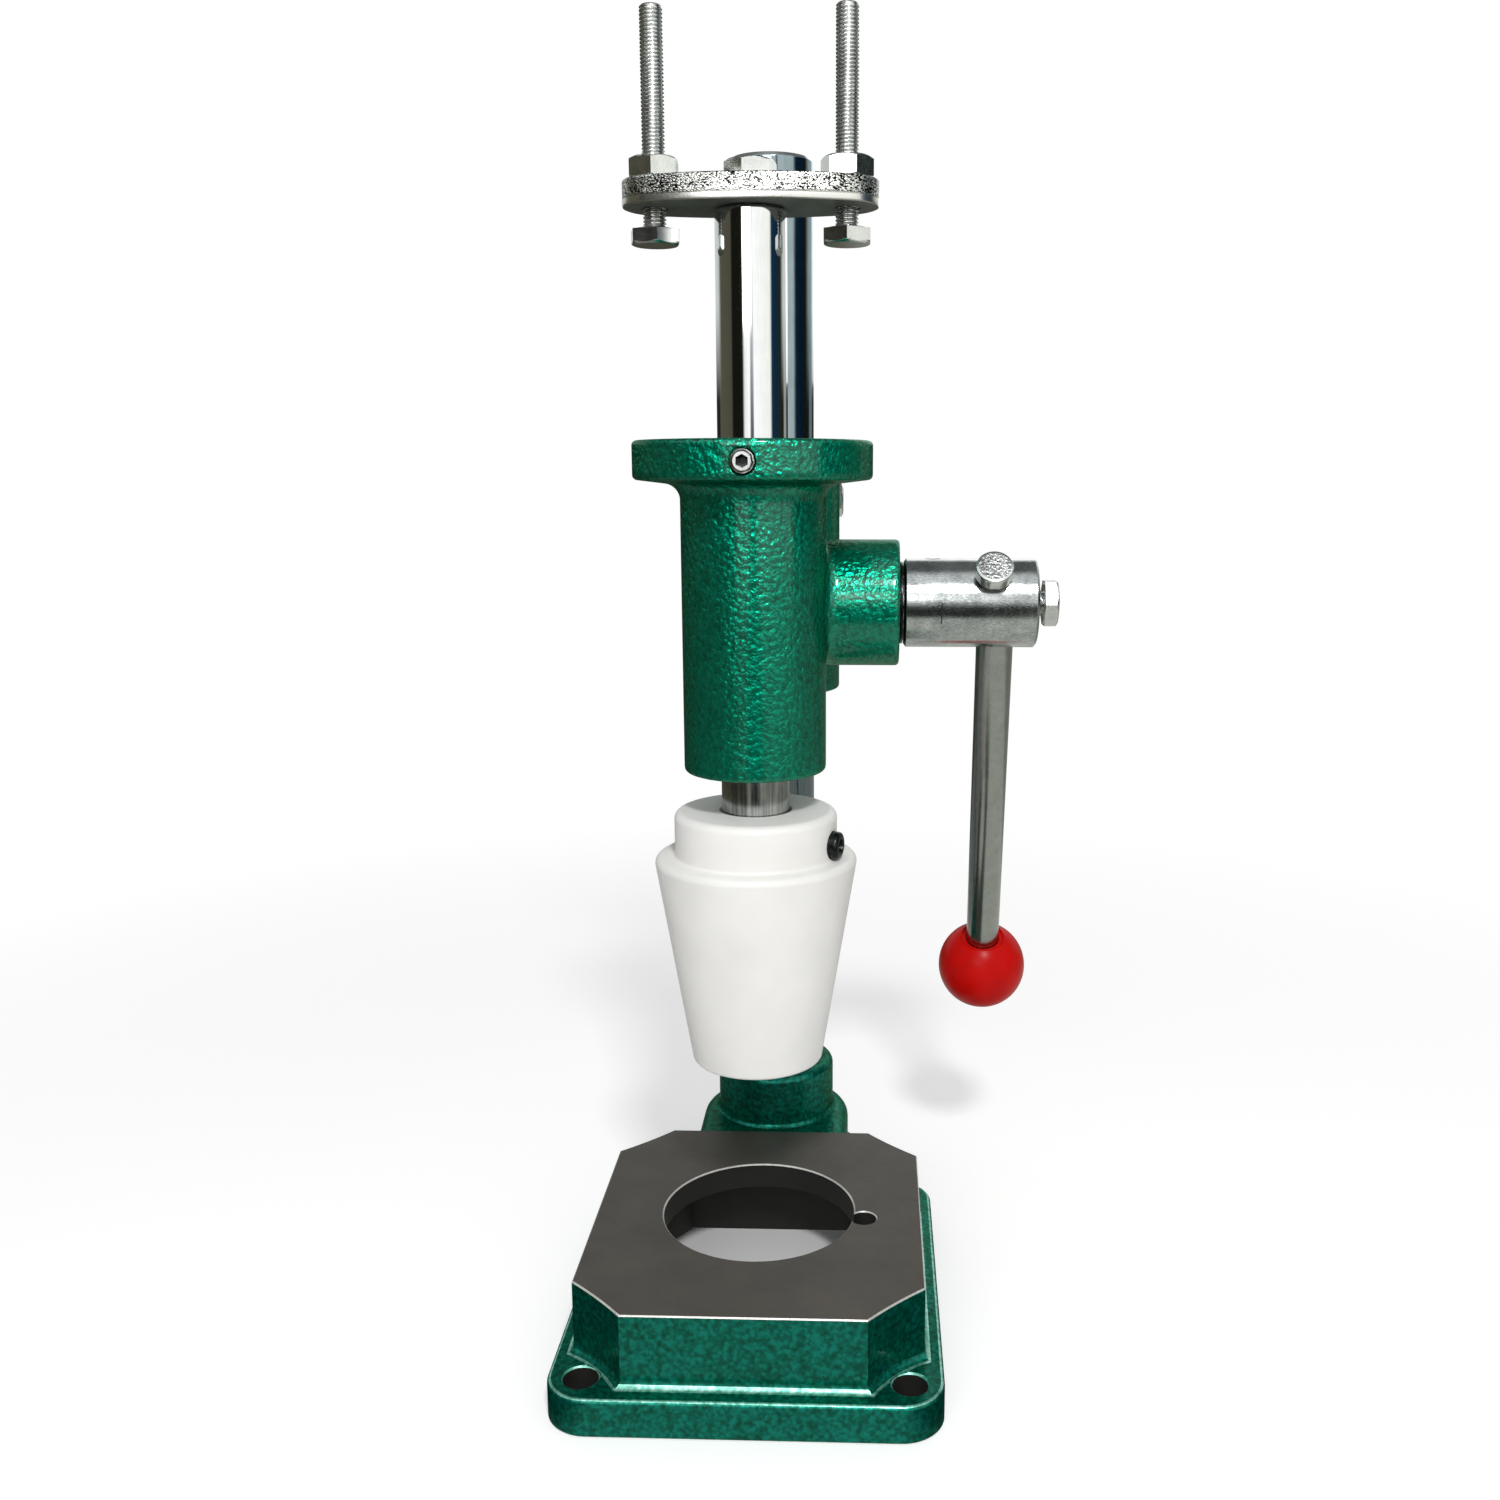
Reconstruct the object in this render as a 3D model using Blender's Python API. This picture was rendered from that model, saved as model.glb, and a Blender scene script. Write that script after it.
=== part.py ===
"""Tartlet shell maker: a hand press with a lever, a rack and a white plastic punch.

The origin is the foot of the column's axis on the bench. X points to the lever's side, Y to the
back and Z up, in metres. The ram stands in front of the column, and the pinion's axis crosses
between the two. Each moving body has an empty on its joint's axis, and its pieces are children
of that empty.
"""

import math

import bmesh
import bpy
from mathutils import Matrix, Vector

# Fits and overruns
FIT_GAP = 0.0003
CUT_OVERRUN = 0.004

# Detail of round shapes, in sides and steps
LARGE_SIDES = 40
MEDIUM_SIDES = 24
SMALL_SIDES = 12
ARC_STEPS = 3

# Foot of the base
FOOT_THICKNESS = 0.014
FOOT_SIDE_MARGIN = 0.0067
FOOT_FRONT_MARGIN = 0.0076
FOOT_REAR_MARGIN = 0.0104
FOOT_CORNER_RADIUS = 0.0155
FOOT_EDGE_RADIUS = 0.0012
FOOT_HOLE_DIAMETER = 0.0125
FOOT_HOLE_SIDE_INSET = 0.0122
FOOT_HOLE_END_INSET = 0.0129

# Plinth and table
REACH = 0.1024
TABLE_HEIGHT = 0.0415
TABLE_WIDTH = 0.126
TABLE_FRONT = 0.0729
TABLE_REAR = 0.0676
TABLE_CORNER = 0.0202
TABLE_CORNER_HOLLOW = 0.0021
TABLE_BEVEL = 0.001
TABLE_THICKNESS = 0.010
PLINTH_WALL = 0.009
DIE_HOLE_DIAMETER = 0.0742
NOTCH_DIAMETER = 0.0098
NOTCH_BITE = 0.0008
NOTCH_TURN = math.radians(-7.0)

# Socket of the column
SOCKET_HEIGHT = 0.0625
SOCKET_WALL = 0.0082
SOCKET_EDGE_RADIUS = 0.0035
SOCKET_FLOOR = 0.008
TONGUE_WALL = 0.0070
TONGUE_HEIGHT = 0.0388
TONGUE_EDGE_RADIUS = 0.006
TONGUE_FOOT_MARGIN = 0.008
TONGUE_FOOT_FILLET = 0.006
COLUMN_SCREW_BELOW_TOP = 0.0095
COLUMN_SCREW_PROUD = 0.001

# Column
COLUMN_DIAMETER = 0.035
COLUMN_TOP = 0.451
COLUMN_CHAMFER = 0.0015

# Head casting
HEAD_BOTTOM = 0.2175
BARREL_HEIGHT = 0.1185
BARREL_WALL = 0.0132
BARREL_EDGE_RADIUS = 0.0015
FLANGE_MARGIN = 0.0166
FLANGE_THICKNESS = 0.0135
FLANGE_FILLET = 0.005
FLANGE_EDGE_RADIUS = 0.0015
SLEEVE_WALL = 0.0107
SLEEVE_RISE = 0.0155
SLEEVE_DRAFT = 0.0008
WEB_THICKNESS = 0.032
WEB_RISE = 0.022
WEB_DROP = 0.004
BOSS_WALL = 0.008
BOSS_RIGHT = 0.0527
BOSS_LEFT = 0.026
BOSS_EDGE_RADIUS = 0.0015
LUG_HALF_WIDTH = 0.0218
LUG_EDGE = 0.012
LUG_CORNER_RADIUS = 0.008
LUG_HEIGHT_MARGIN = 0.0135
LUG_SLIT = 0.003
CLAMP_HEAD_MARGIN = 0.003
CLAMP_DROP = 0.023
CLAMP_SPACING = 0.057
CLAMP_THREAD_PROUD = 0.003

# Rack and pinion
GEAR_MODULE = 0.002
PINION_TEETH = 13
PRESSURE_ANGLE = math.radians(20.0)
PINION_ADDENDUM = 0.0016
PINION_DEDENDUM = 0.0019
RACK_ADDENDUM = 0.0015
RACK_DEDENDUM = 0.0020
TOOTH_THINNING = 0.00015
RACK_PITCH_DEPTH = 0.0095
RACK_SPARE_TEETH = 1
PINION_RISE = 0.0595
PINION_WIDTH = 0.026
SHAFT_DIAMETER = 0.020
JOURNAL_DIAMETER = 0.016
JOURNAL_LENGTH = 0.0085
SHAFT_CHAMFER = 0.0008

# Bush of the pinion shaft and its screw
BUSH_END_INSET = 0.0003
BUSH_SCREW_X = 0.038
BUSH_SCREW_SINK = 0.001

# Ram
RAM_DIAMETER = 0.025
RAM_CHAMFER = 0.001
RAM_UP_GAP = 0.0150
STOP_GAP = 0.066
RAM_IN_PUNCH = 0.036

# Friction slug and its screw in the flange
FRICTION_BELOW_TOP = 0.0074
FRICTION_SCREW_PROUD = 0.002
FRICTION_PAD_LENGTH = 0.006

# Stop plate and stop bolts
PLATE_THICKNESS = 0.0090
PLATE_WIDTH = 0.038
PLATE_END_MARGIN = 0.0111
PLATE_END_RADIUS = 0.0145
PLATE_BEVEL = 0.0006
STOP_SPACING = 0.0663
STOP_HEAD_DROP = 0.0067
STOP_BOLT_LENGTH = 0.0720
STOP_ACROSS_FLATS = 0.016
STOP_NUT_HEIGHT = 0.0074
CENTRE_BOLT_GRIP = 0.018
CENTRE_WASHER_DIAMETER = 0.019
CENTRE_WASHER_THICKNESS = 0.001
CENTRE_BOLT_TURN = math.radians(-14.0)
NUT_TURN_LEFT = math.radians(2.0)
NUT_TURN_RIGHT = math.radians(21.0)
STOP_TURN_LEFT = math.radians(47.0)
STOP_TURN_RIGHT = math.radians(59.0)

# Punch
PUNCH_CONE_HEIGHT = 0.0798
PUNCH_TOP_DIAMETER = 0.0758
PUNCH_TIP_DIAMETER = 0.0488
PUNCH_TIP_RADIUS = 0.0015
PUNCH_SHOULDER_RADIUS = 0.0026
PUNCH_COLLAR_DIAMETER = 0.0602
PUNCH_COLLAR_HEIGHT = 0.0169
PUNCH_COLLAR_RADIUS = 0.003
PUNCH_SCREW_RISE = 0.0055
PUNCH_SCREW_TURN = math.radians(-17.0)
PUNCH_SCREW_DIAMETER = 0.006
PUNCH_SCREW_HEAD_DIAMETER = 0.0102
PUNCH_SCREW_HEAD_HEIGHT = 0.0048
PUNCH_SCREW_PROUD_LEFT = 0.0012
PUNCH_SCREW_PROUD_RIGHT = 0.0033
PUNCH_SCREW_ROUND = 0.0012

# Lever hub
HUB_DIAMETER = 0.0330
HUB_LENGTH = 0.0494
HUB_CHAMFER = 0.0009
HUB_SHAFT_DEPTH = 0.0212
HUB_PIN_DIAMETER = 0.005
HUB_PIN_FROM_LEFT = 0.0109
HUB_PIN_SINK = 0.0003
THRUST_WASHER_THICKNESS = 0.001
THRUST_WASHER_MARGIN = 0.0012

# Lever rod and ball
ROD_DIAMETER = 0.014
ROD_FROM_HUB_END = 0.0147
ROD_PAST_AXIS = 0.005
ROD_SWING = math.radians(24.0)
ROD_LEAN = math.radians(1.1)
ROD_CHAMFER = 0.0008
BALL_DIAMETER = 0.038
BALL_DISTANCE = 0.184
BALL_NECK_DIAMETER = 0.019
BALL_NECK_DEPTH = 0.0007
BALL_ROD_DEPTH = 0.024

# Bolts of the hub
LOCK_BOLT_FROM_HUB_END = 0.0170
LOCK_BOLT_RISE = math.radians(38.5)
LOCK_BOLT_STANDOFF = 0.0022
END_BOLT_STANDOFF = 0.0026

# Metric fasteners
M8_DIAMETER = 0.008
M8_ACROSS_FLATS = 0.013
M8_HEAD_HEIGHT = 0.0053
M8_NUT_HEIGHT = 0.0068
M8_WASHER_DIAMETER = 0.016
M8_WASHER_THICKNESS = 0.0016
M8_SOCKET_WIDTH = 0.004
M8_SOCKET_DEPTH = 0.003
M10_DIAMETER = 0.010
M10_ACROSS_FLATS = 0.016
M10_HEAD_HEIGHT = 0.0054
M6_DIAMETER = 0.006
M6_SOCKET_WIDTH = 0.003
M6_SOCKET_DEPTH = 0.0025
THREAD_CHAMFER = 0.0008
HEAD_CHAMFER_HEIGHT = 0.0008

# Places worked out from the sizes above
RAM_RADIUS = RAM_DIAMETER / 2
RAM_Y = -REACH
DIE_HOLE_RADIUS = DIE_HOLE_DIAMETER / 2
COLUMN_BORE_RADIUS = COLUMN_DIAMETER / 2 + FIT_GAP
RAM_BORE_RADIUS = RAM_RADIUS + FIT_GAP
SOCKET_RADIUS = COLUMN_BORE_RADIUS + SOCKET_WALL
TONGUE_RADIUS = SOCKET_RADIUS + TONGUE_WALL
TABLE_FRONT_Y = RAM_Y - TABLE_FRONT
TABLE_REAR_Y = RAM_Y + TABLE_REAR
FOOT_FRONT_Y = TABLE_FRONT_Y - FOOT_FRONT_MARGIN
FOOT_REAR_Y = TABLE_REAR_Y + FOOT_REAR_MARGIN
FOOT_HALF_WIDTH = TABLE_WIDTH / 2 + FOOT_SIDE_MARGIN
HEAD_TOP = HEAD_BOTTOM + BARREL_HEIGHT
SLEEVE_RADIUS = COLUMN_BORE_RADIUS + SLEEVE_WALL
BARREL_RADIUS = RAM_BORE_RADIUS + BARREL_WALL
FLANGE_RADIUS = BARREL_RADIUS + FLANGE_MARGIN
PITCH_RADIUS = GEAR_MODULE * PINION_TEETH / 2
TOOTH_PITCH = math.pi * GEAR_MODULE
PINION_TIP_RADIUS = PITCH_RADIUS + PINION_ADDENDUM
PINION_Y = RAM_Y + RACK_PITCH_DEPTH + PITCH_RADIUS
PINION_Z = HEAD_BOTTOM + PINION_RISE
BOSS_BORE_RADIUS = PINION_TIP_RADIUS + 3 * FIT_GAP
BOSS_RADIUS = BOSS_BORE_RADIUS + BOSS_WALL
CLAMP_Y = SLEEVE_RADIUS + M8_ACROSS_FLATS / 2 + CLAMP_HEAD_MARGIN
CLAMP_UPPER_Z = HEAD_TOP - CLAMP_DROP
CLAMP_LOWER_Z = CLAMP_UPPER_Z - CLAMP_SPACING
FRICTION_Z = HEAD_TOP - FRICTION_BELOW_TOP
PUNCH_TOP_Z = HEAD_BOTTOM - RAM_UP_GAP
PUNCH_SHOULDER_Z = PUNCH_TOP_Z - PUNCH_COLLAR_HEIGHT
PUNCH_TIP_Z = PUNCH_SHOULDER_Z - PUNCH_CONE_HEIGHT
PUNCH_SCREW_Z = PUNCH_SHOULDER_Z + PUNCH_SCREW_RISE
RAM_BOTTOM_Z = PUNCH_TOP_Z - RAM_IN_PUNCH
STOP_HEAD_Z = HEAD_TOP + STOP_GAP
PLATE_Z = STOP_HEAD_Z + M8_HEAD_HEIGHT + STOP_HEAD_DROP
PLATE_TOP_Z = PLATE_Z + PLATE_THICKNESS
RAM_TOP_Z = PLATE_Z - FIT_GAP
HUB_LEFT_X = BOSS_RIGHT + THRUST_WASHER_THICKNESS + 2 * FIT_GAP
HUB_RIGHT_X = HUB_LEFT_X + HUB_LENGTH
HUB_RADIUS = HUB_DIAMETER / 2
ROD_X = HUB_RIGHT_X - ROD_FROM_HUB_END
ROD_DIRECTION = Vector(
    (
        math.sin(ROD_LEAN),
        math.cos(ROD_LEAN) * math.sin(ROD_SWING),
        -math.cos(ROD_LEAN) * math.cos(ROD_SWING),
    )
)
LOCK_BOLT_DIRECTION = Vector((0, -math.cos(LOCK_BOLT_RISE), math.sin(LOCK_BOLT_RISE)))

AXIS_X = Vector((1, 0, 0))
AXIS_Y = Vector((0, 1, 0))
AXIS_Z = Vector((0, 0, 1))


def clear_scene():
    """Remove whatever the open file holds."""
    for item in list(bpy.data.objects):
        bpy.data.objects.remove(item, do_unlink=True)


def finish(name, colour, roughness, metallic):
    """One material with a plain Principled surface."""
    material = bpy.data.materials.new(name)
    material.use_nodes = True
    shader = material.node_tree.nodes["Principled BSDF"]
    shader.inputs["Base Color"].default_value = (*colour, 1)
    shader.inputs["Roughness"].default_value = roughness
    shader.inputs["Metallic"].default_value = metallic
    return material


def green_enamel(name):
    return finish(name, (0.006, 0.145, 0.093), 0.3, 0.0)


def chromed_steel(name):
    return finish(name, (0.62, 0.63, 0.65), 0.12, 1.0)


def turned_steel(name):
    return finish(name, (0.50, 0.50, 0.49), 0.32, 1.0)


def zinc_steel(name):
    return finish(name, (0.60, 0.60, 0.58), 0.38, 1.0)


def dark_steel(name):
    return finish(name, (0.10, 0.10, 0.10), 0.4, 1.0)


def bronze(name):
    return finish(name, (0.43, 0.24, 0.08), 0.4, 1.0)


def white_plastic(name):
    return finish(name, (0.80, 0.79, 0.76), 0.45, 0.0)


def red_plastic(name):
    return finish(name, (0.55, 0.006, 0.012), 0.12, 0.0)


def joint_frame(name, parent=None, location=(0, 0, 0)):
    """An empty that carries one moving body."""
    frame = bpy.data.objects.new(name, None)
    bpy.context.scene.collection.objects.link(frame)
    frame.parent = parent
    frame.location = location
    return frame


def add_piece(name, vertices, faces, frame, material=None):
    """Make one object from its points and faces, with its normals pointing out."""
    mesh = bpy.data.meshes.new(name)
    mesh.from_pydata([tuple(v) for v in vertices], [], faces)
    shape = bmesh.new()
    shape.from_mesh(mesh)
    bmesh.ops.recalc_face_normals(shape, faces=shape.faces)
    shape.to_mesh(mesh)
    shape.free()
    mesh.shade_smooth()
    mesh.set_sharp_from_angle(angle=math.radians(30))
    piece = bpy.data.objects.new(name, mesh)
    bpy.context.scene.collection.objects.link(piece)
    piece.parent = frame
    if material:
        mesh.materials.append(material(name))
    return piece


def stacked(name, rings, frame, material=None, hollow=False):
    """Skin a stack of rings that have equally many points, and cap it or close it to a tube."""
    count = len(rings[0])
    vertices = [point for ring in rings for point in ring]
    levels = len(rings)
    faces = []
    for level in range(levels if hollow else levels - 1):
        low = level * count
        high = (level + 1) % levels * count
        for i in range(count):
            j = (i + 1) % count
            faces.append((low + i, low + j, high + j, high + i))
    if not hollow:
        faces.append(tuple(reversed(range(count))))
        faces.append(tuple(range((levels - 1) * count, levels * count)))
    return add_piece(name, vertices, faces, frame, material)


def circle(radius, height, sides):
    """Points round the Z axis."""
    turns = [2 * math.pi * i / sides for i in range(sides)]
    return [(radius * math.cos(a), radius * math.sin(a), height) for a in turns]


def hexagon(across_flats, height, sides):
    """Points on a hexagon round the Z axis, with its corners among them."""
    points = []
    for i in range(sides):
        turn = 2 * math.pi * i / sides
        from_flat = (turn + math.pi / 6) % (math.pi / 3) - math.pi / 6
        reach = across_flats / 2 / math.cos(from_flat)
        points.append((reach * math.cos(turn), reach * math.sin(turn), height))
    return points


def rounded(corners, closed=True, steps=ARC_STEPS):
    """A path through corners given as (x, y, radius), each rounded by an arc of its radius."""
    path = []
    count = len(corners)
    for i, (x, y, radius) in enumerate(corners):
        at_end = not closed and i in (0, count - 1)
        if at_end or not radius:
            path.append((x, y))
            continue
        here = Vector((x, y))
        back = (Vector(corners[i - 1][:2]) - here).normalized()
        ahead = (Vector(corners[(i + 1) % count][:2]) - here).normalized()
        half = back.angle(ahead) / 2
        centre = here + (back + ahead).normalized() * radius / math.sin(half)
        start = here + back * radius / math.tan(half) - centre
        end = here + ahead * radius / math.tan(half) - centre
        sweep = start.angle_signed(end)
        for step in range(steps + 1):
            spoke = start.copy()
            spoke.rotate(Matrix.Rotation(-sweep * step / steps, 2))
            path.append(tuple(centre + spoke))
    return path


def turned(name, corners, frame, material=None, sides=LARGE_SIDES, hollow=False):
    """A turned solid from a profile of (radius, height, rounding) corners, lowest first."""
    profile = rounded(corners, closed=hollow)
    rings = [circle(radius, height, sides) for radius, height in profile]
    return stacked(name, rings, frame, material, hollow)


def drum(name, radius, low, high, frame, material=None, sides=LARGE_SIDES, edge=0.0):
    """A plain cylinder along Z with chamfered ends."""
    if not edge:
        return turned(name, [(radius, low, 0), (radius, high, 0)], frame, material, sides)
    corners = [
        (radius - edge, low, 0),
        (radius, low + edge, 0),
        (radius, high - edge, 0),
        (radius - edge, high, 0),
    ]
    return turned(name, corners, frame, material, sides)


def prism(name, outline, low, high, frame, material=None):
    """A solid with one outline, from one height to another."""
    rings = [[(x, y, z) for x, y in outline] for z in (low, high)]
    return stacked(name, rings, frame, material)


def aim(piece, location, direction=AXIS_Z, turn=0.0):
    """Put a piece's own Z axis along a direction, turned about it."""
    facing = Vector(direction).to_track_quat("Z", "Y").to_matrix().to_4x4()
    spin = Matrix.Rotation(turn, 4, "Z")
    piece.matrix_local = Matrix.Translation(location) @ facing @ spin
    return piece


def combine(piece, other, operation):
    """Unite a piece with another shape or cut it by one, and keep that shape as a guide."""
    boolean = piece.modifiers.new(other.name, "BOOLEAN")
    boolean.operation = operation
    boolean.solver = "EXACT"
    boolean.object = other
    other.hide_render = True
    other.display_type = "WIRE"


def unite(piece, *others):
    for other in others:
        combine(piece, other, "UNION")


def cut(piece, *others):
    for other in others:
        combine(piece, other, "DIFFERENCE")


def hex_bolt(name, diameter, across_flats, head_height, length, frame, material):
    """A bolt whose seat is at its own origin, with the head above it and the shank below."""
    radius = diameter / 2
    flat = across_flats / 2
    rings = [
        circle(radius - THREAD_CHAMFER, -length, SMALL_SIDES),
        circle(radius, -length + THREAD_CHAMFER, SMALL_SIDES),
        circle(radius, 0, SMALL_SIDES),
        hexagon(across_flats, 0, SMALL_SIDES),
        hexagon(across_flats, head_height - HEAD_CHAMFER_HEIGHT, SMALL_SIDES),
        circle(flat - HEAD_CHAMFER_HEIGHT / 2, head_height, SMALL_SIDES),
    ]
    return stacked(name, rings, frame, material)


def hex_nut(name, diameter, across_flats, height, frame, material):
    """A nut that stands on its own origin."""
    bore = diameter / 2 + FIT_GAP
    flat = across_flats / 2
    rings = [
        circle(flat - HEAD_CHAMFER_HEIGHT / 2, 0, SMALL_SIDES),
        hexagon(across_flats, HEAD_CHAMFER_HEIGHT, SMALL_SIDES),
        hexagon(across_flats, height - HEAD_CHAMFER_HEIGHT, SMALL_SIDES),
        circle(flat - HEAD_CHAMFER_HEIGHT / 2, height, SMALL_SIDES),
        circle(bore, height, SMALL_SIDES),
        circle(bore, 0, SMALL_SIDES),
    ]
    return stacked(name, rings, frame, material, hollow=True)


def ring_washer(name, bore_radius, outer_radius, thickness, frame, material, sides=SMALL_SIDES):
    """A flat washer that stands on its own origin."""
    corners = [
        (bore_radius, 0, 0),
        (outer_radius, 0, 0),
        (outer_radius, thickness, 0),
        (bore_radius, thickness, 0),
    ]
    return turned(name, corners, frame, material, sides, hollow=True)


def grub_screw(name, diameter, length, socket_width, socket_depth, frame, material):
    """A headless screw whose outer end is at its own origin, with a hexagon socket."""
    radius = diameter / 2
    rings = [
        circle(radius - THREAD_CHAMFER, -length, SMALL_SIDES),
        circle(radius, -length + THREAD_CHAMFER, SMALL_SIDES),
        circle(radius, -THREAD_CHAMFER, SMALL_SIDES),
        circle(radius - THREAD_CHAMFER, 0, SMALL_SIDES),
        hexagon(socket_width, 0, SMALL_SIDES),
        hexagon(socket_width, -socket_depth, SMALL_SIDES),
    ]
    return stacked(name, rings, frame, material)


def hollow_corner(start, end, depth):
    """Points of a shallow arc from start to end that bends in to the right of that way."""
    start = Vector(start)
    end = Vector(end)
    chord = end - start
    radius = (chord.length**2 / 4 + depth**2) / (2 * depth)
    inward = Vector((-chord.y, chord.x)).normalized()
    centre = (start + end) / 2 + inward * (depth - radius)
    spoke = start - centre
    sweep = spoke.angle_signed(end - centre)
    points = []
    for step in range(ARC_STEPS + 1):
        arm = spoke.copy()
        arm.rotate(Matrix.Rotation(-sweep * step / ARC_STEPS, 2))
        points.append(tuple(centre + arm))
    return points


def table_outline(inset=0.0):
    """The plinth's outline: a rectangle with its four corners hollowed."""
    half = TABLE_WIDTH / 2 - inset
    front = TABLE_FRONT_Y + inset
    rear = TABLE_REAR_Y - inset
    corner = TABLE_CORNER
    hollow = TABLE_CORNER_HOLLOW
    return (
        hollow_corner((half, rear - corner), (half - corner, rear), hollow)
        + hollow_corner((corner - half, rear), (-half, rear - corner), hollow)
        + hollow_corner((-half, front + corner), (corner - half, front), hollow)
        + hollow_corner((half - corner, front), (half, front + corner), hollow)
    )


def foot_outline(inset=0.0):
    """The foot's outline: a rounded rectangle with a tongue under the socket."""
    half = FOOT_HALF_WIDTH - inset
    tongue = TONGUE_RADIUS + TONGUE_FOOT_MARGIN - inset
    front = FOOT_FRONT_Y + inset
    rear = FOOT_REAR_Y - inset
    corner = FOOT_CORNER_RADIUS - inset
    fillet = TONGUE_FOOT_FILLET + inset
    return rounded(
        [
            (half, rear, corner),
            (tongue, rear, fillet),
            (tongue, tongue, tongue),
            (-tongue, tongue, tongue),
            (-tongue, rear, fillet),
            (-half, rear, corner),
            (-half, front, corner),
            (half, front, corner),
        ],
        steps=2 * ARC_STEPS,
    )


def tongue_outline(inset=0.0):
    """The tongue's outline: a bar from the plinth that ends round under the socket."""
    radius = TONGUE_RADIUS - inset
    inside_plinth = TABLE_REAR_Y - PLINTH_WALL / 2
    return rounded(
        [
            (radius, inside_plinth, 0),
            (radius, radius, radius),
            (-radius, radius, radius),
            (-radius, inside_plinth, 0),
        ],
        steps=2 * ARC_STEPS,
    )


def foot_hole_places():
    """Centres of the four bolt holes in the foot."""
    x = FOOT_HALF_WIDTH - FOOT_HOLE_SIDE_INSET
    front = FOOT_FRONT_Y + FOOT_HOLE_END_INSET
    rear = FOOT_REAR_Y - FOOT_HOLE_END_INSET
    return [(side * x, y) for side in (-1, 1) for y in (front, rear)]


def at_height(outline, height):
    return [(x, y, height) for x, y in outline]


def base_body(frame):
    """The foot, the plinth, the tongue and the socket as one casting, still without holes."""
    base = stacked(
        "base_casting",
        [
            at_height(foot_outline(), 0),
            at_height(foot_outline(), FOOT_THICKNESS - FOOT_EDGE_RADIUS),
            at_height(foot_outline(FOOT_EDGE_RADIUS), FOOT_THICKNESS),
        ],
        frame,
        green_enamel,
    )
    inside_foot = FOOT_THICKNESS / 2
    plinth = stacked(
        "plinth_guide",
        [
            at_height(table_outline(), inside_foot),
            at_height(table_outline(), TABLE_HEIGHT - TABLE_BEVEL),
            at_height(table_outline(TABLE_BEVEL), TABLE_HEIGHT),
        ],
        frame,
    )
    tongue_rings = [at_height(tongue_outline(), inside_foot)]
    for step in range(ARC_STEPS + 1):
        turn = math.pi / 2 * step / ARC_STEPS
        inset = TONGUE_EDGE_RADIUS * (1 - math.cos(turn))
        height = TONGUE_HEIGHT - TONGUE_EDGE_RADIUS * (1 - math.sin(turn))
        tongue_rings.append(at_height(tongue_outline(inset), height))
    tongue = stacked("tongue_guide", tongue_rings, frame)
    socket = turned(
        "socket_guide",
        [
            (SOCKET_RADIUS, inside_foot, 0),
            (SOCKET_RADIUS, SOCKET_HEIGHT, SOCKET_EDGE_RADIUS),
            (COLUMN_BORE_RADIUS / 2, SOCKET_HEIGHT, 0),
        ],
        frame,
    )
    unite(base, plinth, tongue, socket)
    return base


def build_base(frame):
    """The base casting with its hollow underside, die hole, notch, socket and bolt holes."""
    base = base_body(frame)
    under_table = TABLE_HEIGHT - TABLE_THICKNESS
    below = -CUT_OVERRUN
    above = TABLE_HEIGHT + CUT_OVERRUN
    hollow = prism("hollow_guide", table_outline(PLINTH_WALL), below, under_table, frame)
    die_hole = drum("die_hole_guide", DIE_HOLE_RADIUS, 0, above, frame)
    aim(die_hole, (0, RAM_Y, 0))
    notch_reach = DIE_HOLE_RADIUS + NOTCH_DIAMETER / 2 - NOTCH_BITE
    notch = drum(
        "notch_guide", NOTCH_DIAMETER / 2, TABLE_THICKNESS, above, frame, sides=MEDIUM_SIDES
    )
    notch_x = notch_reach * math.cos(NOTCH_TURN)
    notch_y = RAM_Y + notch_reach * math.sin(NOTCH_TURN)
    aim(notch, (notch_x, notch_y, 0))
    socket_bore = drum(
        "socket_bore_guide",
        COLUMN_BORE_RADIUS,
        SOCKET_FLOOR,
        SOCKET_HEIGHT + CUT_OVERRUN,
        frame,
    )
    cut(base, hollow, die_hole, notch, socket_bore)
    for index, (x, y) in enumerate(foot_hole_places()):
        hole = drum(
            f"foot_hole_guide_{index}",
            FOOT_HOLE_DIAMETER / 2,
            below,
            FOOT_THICKNESS + CUT_OVERRUN,
            frame,
            sides=MEDIUM_SIDES,
        )
        cut(base, aim(hole, (x, y, 0)))
    cut(base, build_column_screw(frame))


def build_column_screw(frame):
    """The grub screw at the back of the socket. Returns the guide that cuts its hole."""
    height = SOCKET_HEIGHT - COLUMN_SCREW_BELOW_TOP
    outer_y = SOCKET_RADIUS + COLUMN_SCREW_PROUD
    length = outer_y - COLUMN_DIAMETER / 2 - FIT_GAP
    screw = grub_screw(
        "column_set_screw",
        M8_DIAMETER,
        length,
        M8_SOCKET_WIDTH,
        M8_SOCKET_DEPTH,
        frame,
        dark_steel,
    )
    aim(screw, (0, outer_y, height), AXIS_Y)
    hole = drum(
        "column_screw_hole_guide",
        M8_DIAMETER / 2 + FIT_GAP,
        COLUMN_DIAMETER / 4,
        SOCKET_RADIUS + CUT_OVERRUN,
        frame,
        sides=SMALL_SIDES,
    )
    return aim(hole, (0, 0, height), AXIS_Y)


def build_column(frame):
    """The chromed bar that stands in the socket."""
    drum(
        "column",
        COLUMN_DIAMETER / 2,
        SOCKET_FLOOR + FIT_GAP,
        COLUMN_TOP,
        frame,
        chromed_steel,
        edge=COLUMN_CHAMFER,
    )


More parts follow.
